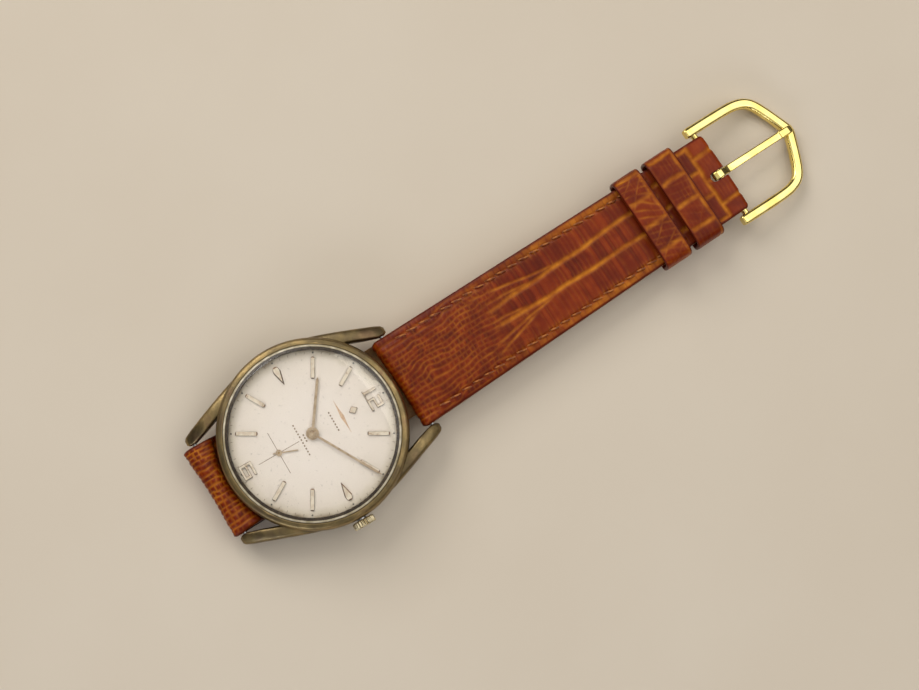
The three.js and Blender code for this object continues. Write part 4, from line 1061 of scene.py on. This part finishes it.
TONGUE_HALF = 0.78
TONGUE = [(-1.7, 0.4, 0.8), (-1.5, 0.5, 1.05), (-1.0, 0.7, 1.3), (-0.5, 0.83, 1.38),
          (0.2, 0.86, 1.36), (1.1, 0.2, 1.0), (1.3, -0.28, 0.9), (2.2, 0.0, 0.66),
          (6, 0.3, 1.35), (14.0, 0.97, 1.95), (14.15, 0.98, 2.05), (15.9, 0.99, 2.02),
          (16.8, 1.02, 1.85), (17.2, 1.12, 1.6), (17.32, 1.25, 1.45)]
across, tall = soft_square(24, 0.38)
stations = [*np.linspace(-1.7, 1.4, 16), *np.linspace(1.7, 13.9, 24), 14.05, 14.2, 14.7, 15.3, 15.9,
            16.5, 16.8, 17.05, 17.2, 17.3]
low_at = [(y, low) for y, low, _ in TONGUE]
high_at = [(y, high) for y, _, high in TONGUE]
sections = []
for y in stations:
    low, high = along(low_at, y), along(high_at, y)
    wide = TONGUE_HALF * (1 - 0.25 * smooth_step(16.3, 17.4, y)) * (0.94 + 0.06 * (y > 14.1))
    sections.append(on_buckle(np.stack([across * wide, np.full_like(across, y),
                                        (low + high) / 2 + tall * (high - low) / 2], 1)))
lofted("tongue_blade", sections, "tongue", GOLD, "gold", ("buckle_tongue",), 50)
EYE_R, EYE_BORE, EYE_SIDES = 1.2, 0.75, 40
eye = [(EYE_BORE, -0.6), (EYE_R - 0.08, -0.66), (EYE_R, -0.58), (EYE_R, 0.58), (EYE_R - 0.08, 0.66),
       (EYE_BORE, 0.6)]
points = [(x, r * math.cos(a), r * math.sin(a)) for r, x in eye for a in full_turn(EYE_SIDES)]
piece("tongue_eye", on_buckle(points), grid_faces(len(eye), EYE_SIDES, True, True), "tongue", GOLD,
      "gold", ("buckle_tongue",))
print("buckle sections:", reach_count)

# %% [markdown]
# ## Finishes for the parts kept from the model
# The movement, the dial furniture and the small pins keep their imported shapes. Each takes the
# finish that its slot in the record names. The hands and the cannon pinion take the tan gilt, and
# the faceted markers and hands add the brown gilt of painted shade for their bevel faces.

# %% Finish the kept nodes
FINISHES = {"worn_plate": PLATE, "gold": GOLD, "gilt": GILT, "nickel": NICKEL,
            "wheel_brass": WHEEL_BRASS, "steel": STEEL, "blued_steel": BLUED, "dial": DIAL,
            "acrylic": CRYSTAL, "rubber": RUBBER, "leather": LEATHER}
for node_name, kept in NODES.items():
    named = kept.data.materials[0].name.split(".")[0]
    kept.data.materials.clear()
    tan = node_name == "cannon_pinion" or node_name.endswith("_hand")
    kept.data.materials.append(HAND_GILT if tan else FINISHES[named])
    # faceted nodes add the brown gilt as a second slot: painted shade on their bevel faces
    if "facet" in kept.modifiers:
        kept.data.materials.append(GILT_FACET_PAINTED_SHADE)
print(len(NODES), "nodes finished")

# %% [markdown]
# ## Table and light
# The table is a pale warm board with the faintest mottling. One large soft lamp high on one side
# gives the gentle shadow, and a second fills from the other side. A pale panel straight above is
# what the flat polished tops mirror, a second panel beyond the buckle does the same for its
# drooping frame, and a strip near the horizon lights the edges.

# %% Floor
# matt emulsion on board: warm beige, barely uneven
BOARD = mottled("matt_beige_board", [(0.017, 4), (1.4, 3)], [(0.3, "#d6cab8"), (0.7, "#dacfbe")],
                None, (1, 0.02, 0.25), Roughness=0.85)
FLOOR_HALF = 900
corners = [(-1, -1), (1, -1), (1, 1), (-1, 1)]
floor = placed("table_top", mesh_of(
    "table_top", [(x * FLOOR_HALF, y * FLOOR_HALF, 0) for x, y in corners], [(0, 1, 2, 3)]))
floor.data.materials.append(BOARD)
print("table", 2 * FLOOR_HALF, "mm wide")


# %% Lamps and surroundings
def lamp(name, spot_mm, aim_mm, size_mm, watts, tone):
    data = bpy.data.lights.new(name, "AREA")
    data.shape, data.size, data.size_y = "RECTANGLE", size_mm[0] * MM, size_mm[1] * MM
    data.energy, data.color = watts, linear(tone)[:3]
    made = placed(name, data)
    made.location = Vector(spot_mm) * MM
    aim = (Vector(aim_mm) - Vector(spot_mm)).normalized()
    made.rotation_euler = aim.to_track_quat("-Z", "Y").to_euler()


lamp("window", (-620, -60, 560), (0, 25, 0), (520, 520), 3.55, "#fffbf6")
lamp("ceiling", (30, 20, 900), (20, 20, 0), (1150, 1150), 1.9, "#fffdf8")
lamp("far_panel", (-60, 680, 820), (0, 60, 0), (800, 760), 2.8, "#fffdf8")
lamp("fill", (420, 480, 620), (0, 25, 0), (500, 500), 0.7, "#fffaf4")
lamp("edge_strip", (380, -420, 260), (0, 30, 0), (420, 120), 0.9, "#eaf1ff")
ROOM_STRENGTH = 0.3
world = bpy.data.worlds.new("soft_room")
world.use_nodes = True
sky = world.node_tree
way_up = node(sky, "TexCoord", out="Generated")
height = node(sky, "SeparateXYZ", {0: way_up}, out="Z")
room = node(sky, "ValToRGB", {0: height}, stops=[
    (0.0, "#6f665c"), (0.35, "#a79f96"), (1.0, "#cfcac4")])
dress(sky, sky.nodes["Background"], Color=room)
sky.nodes["Background"].inputs["Strength"].default_value = ROOM_STRENGTH
bpy.context.scene.world = world
print("5 lamps and a soft room")
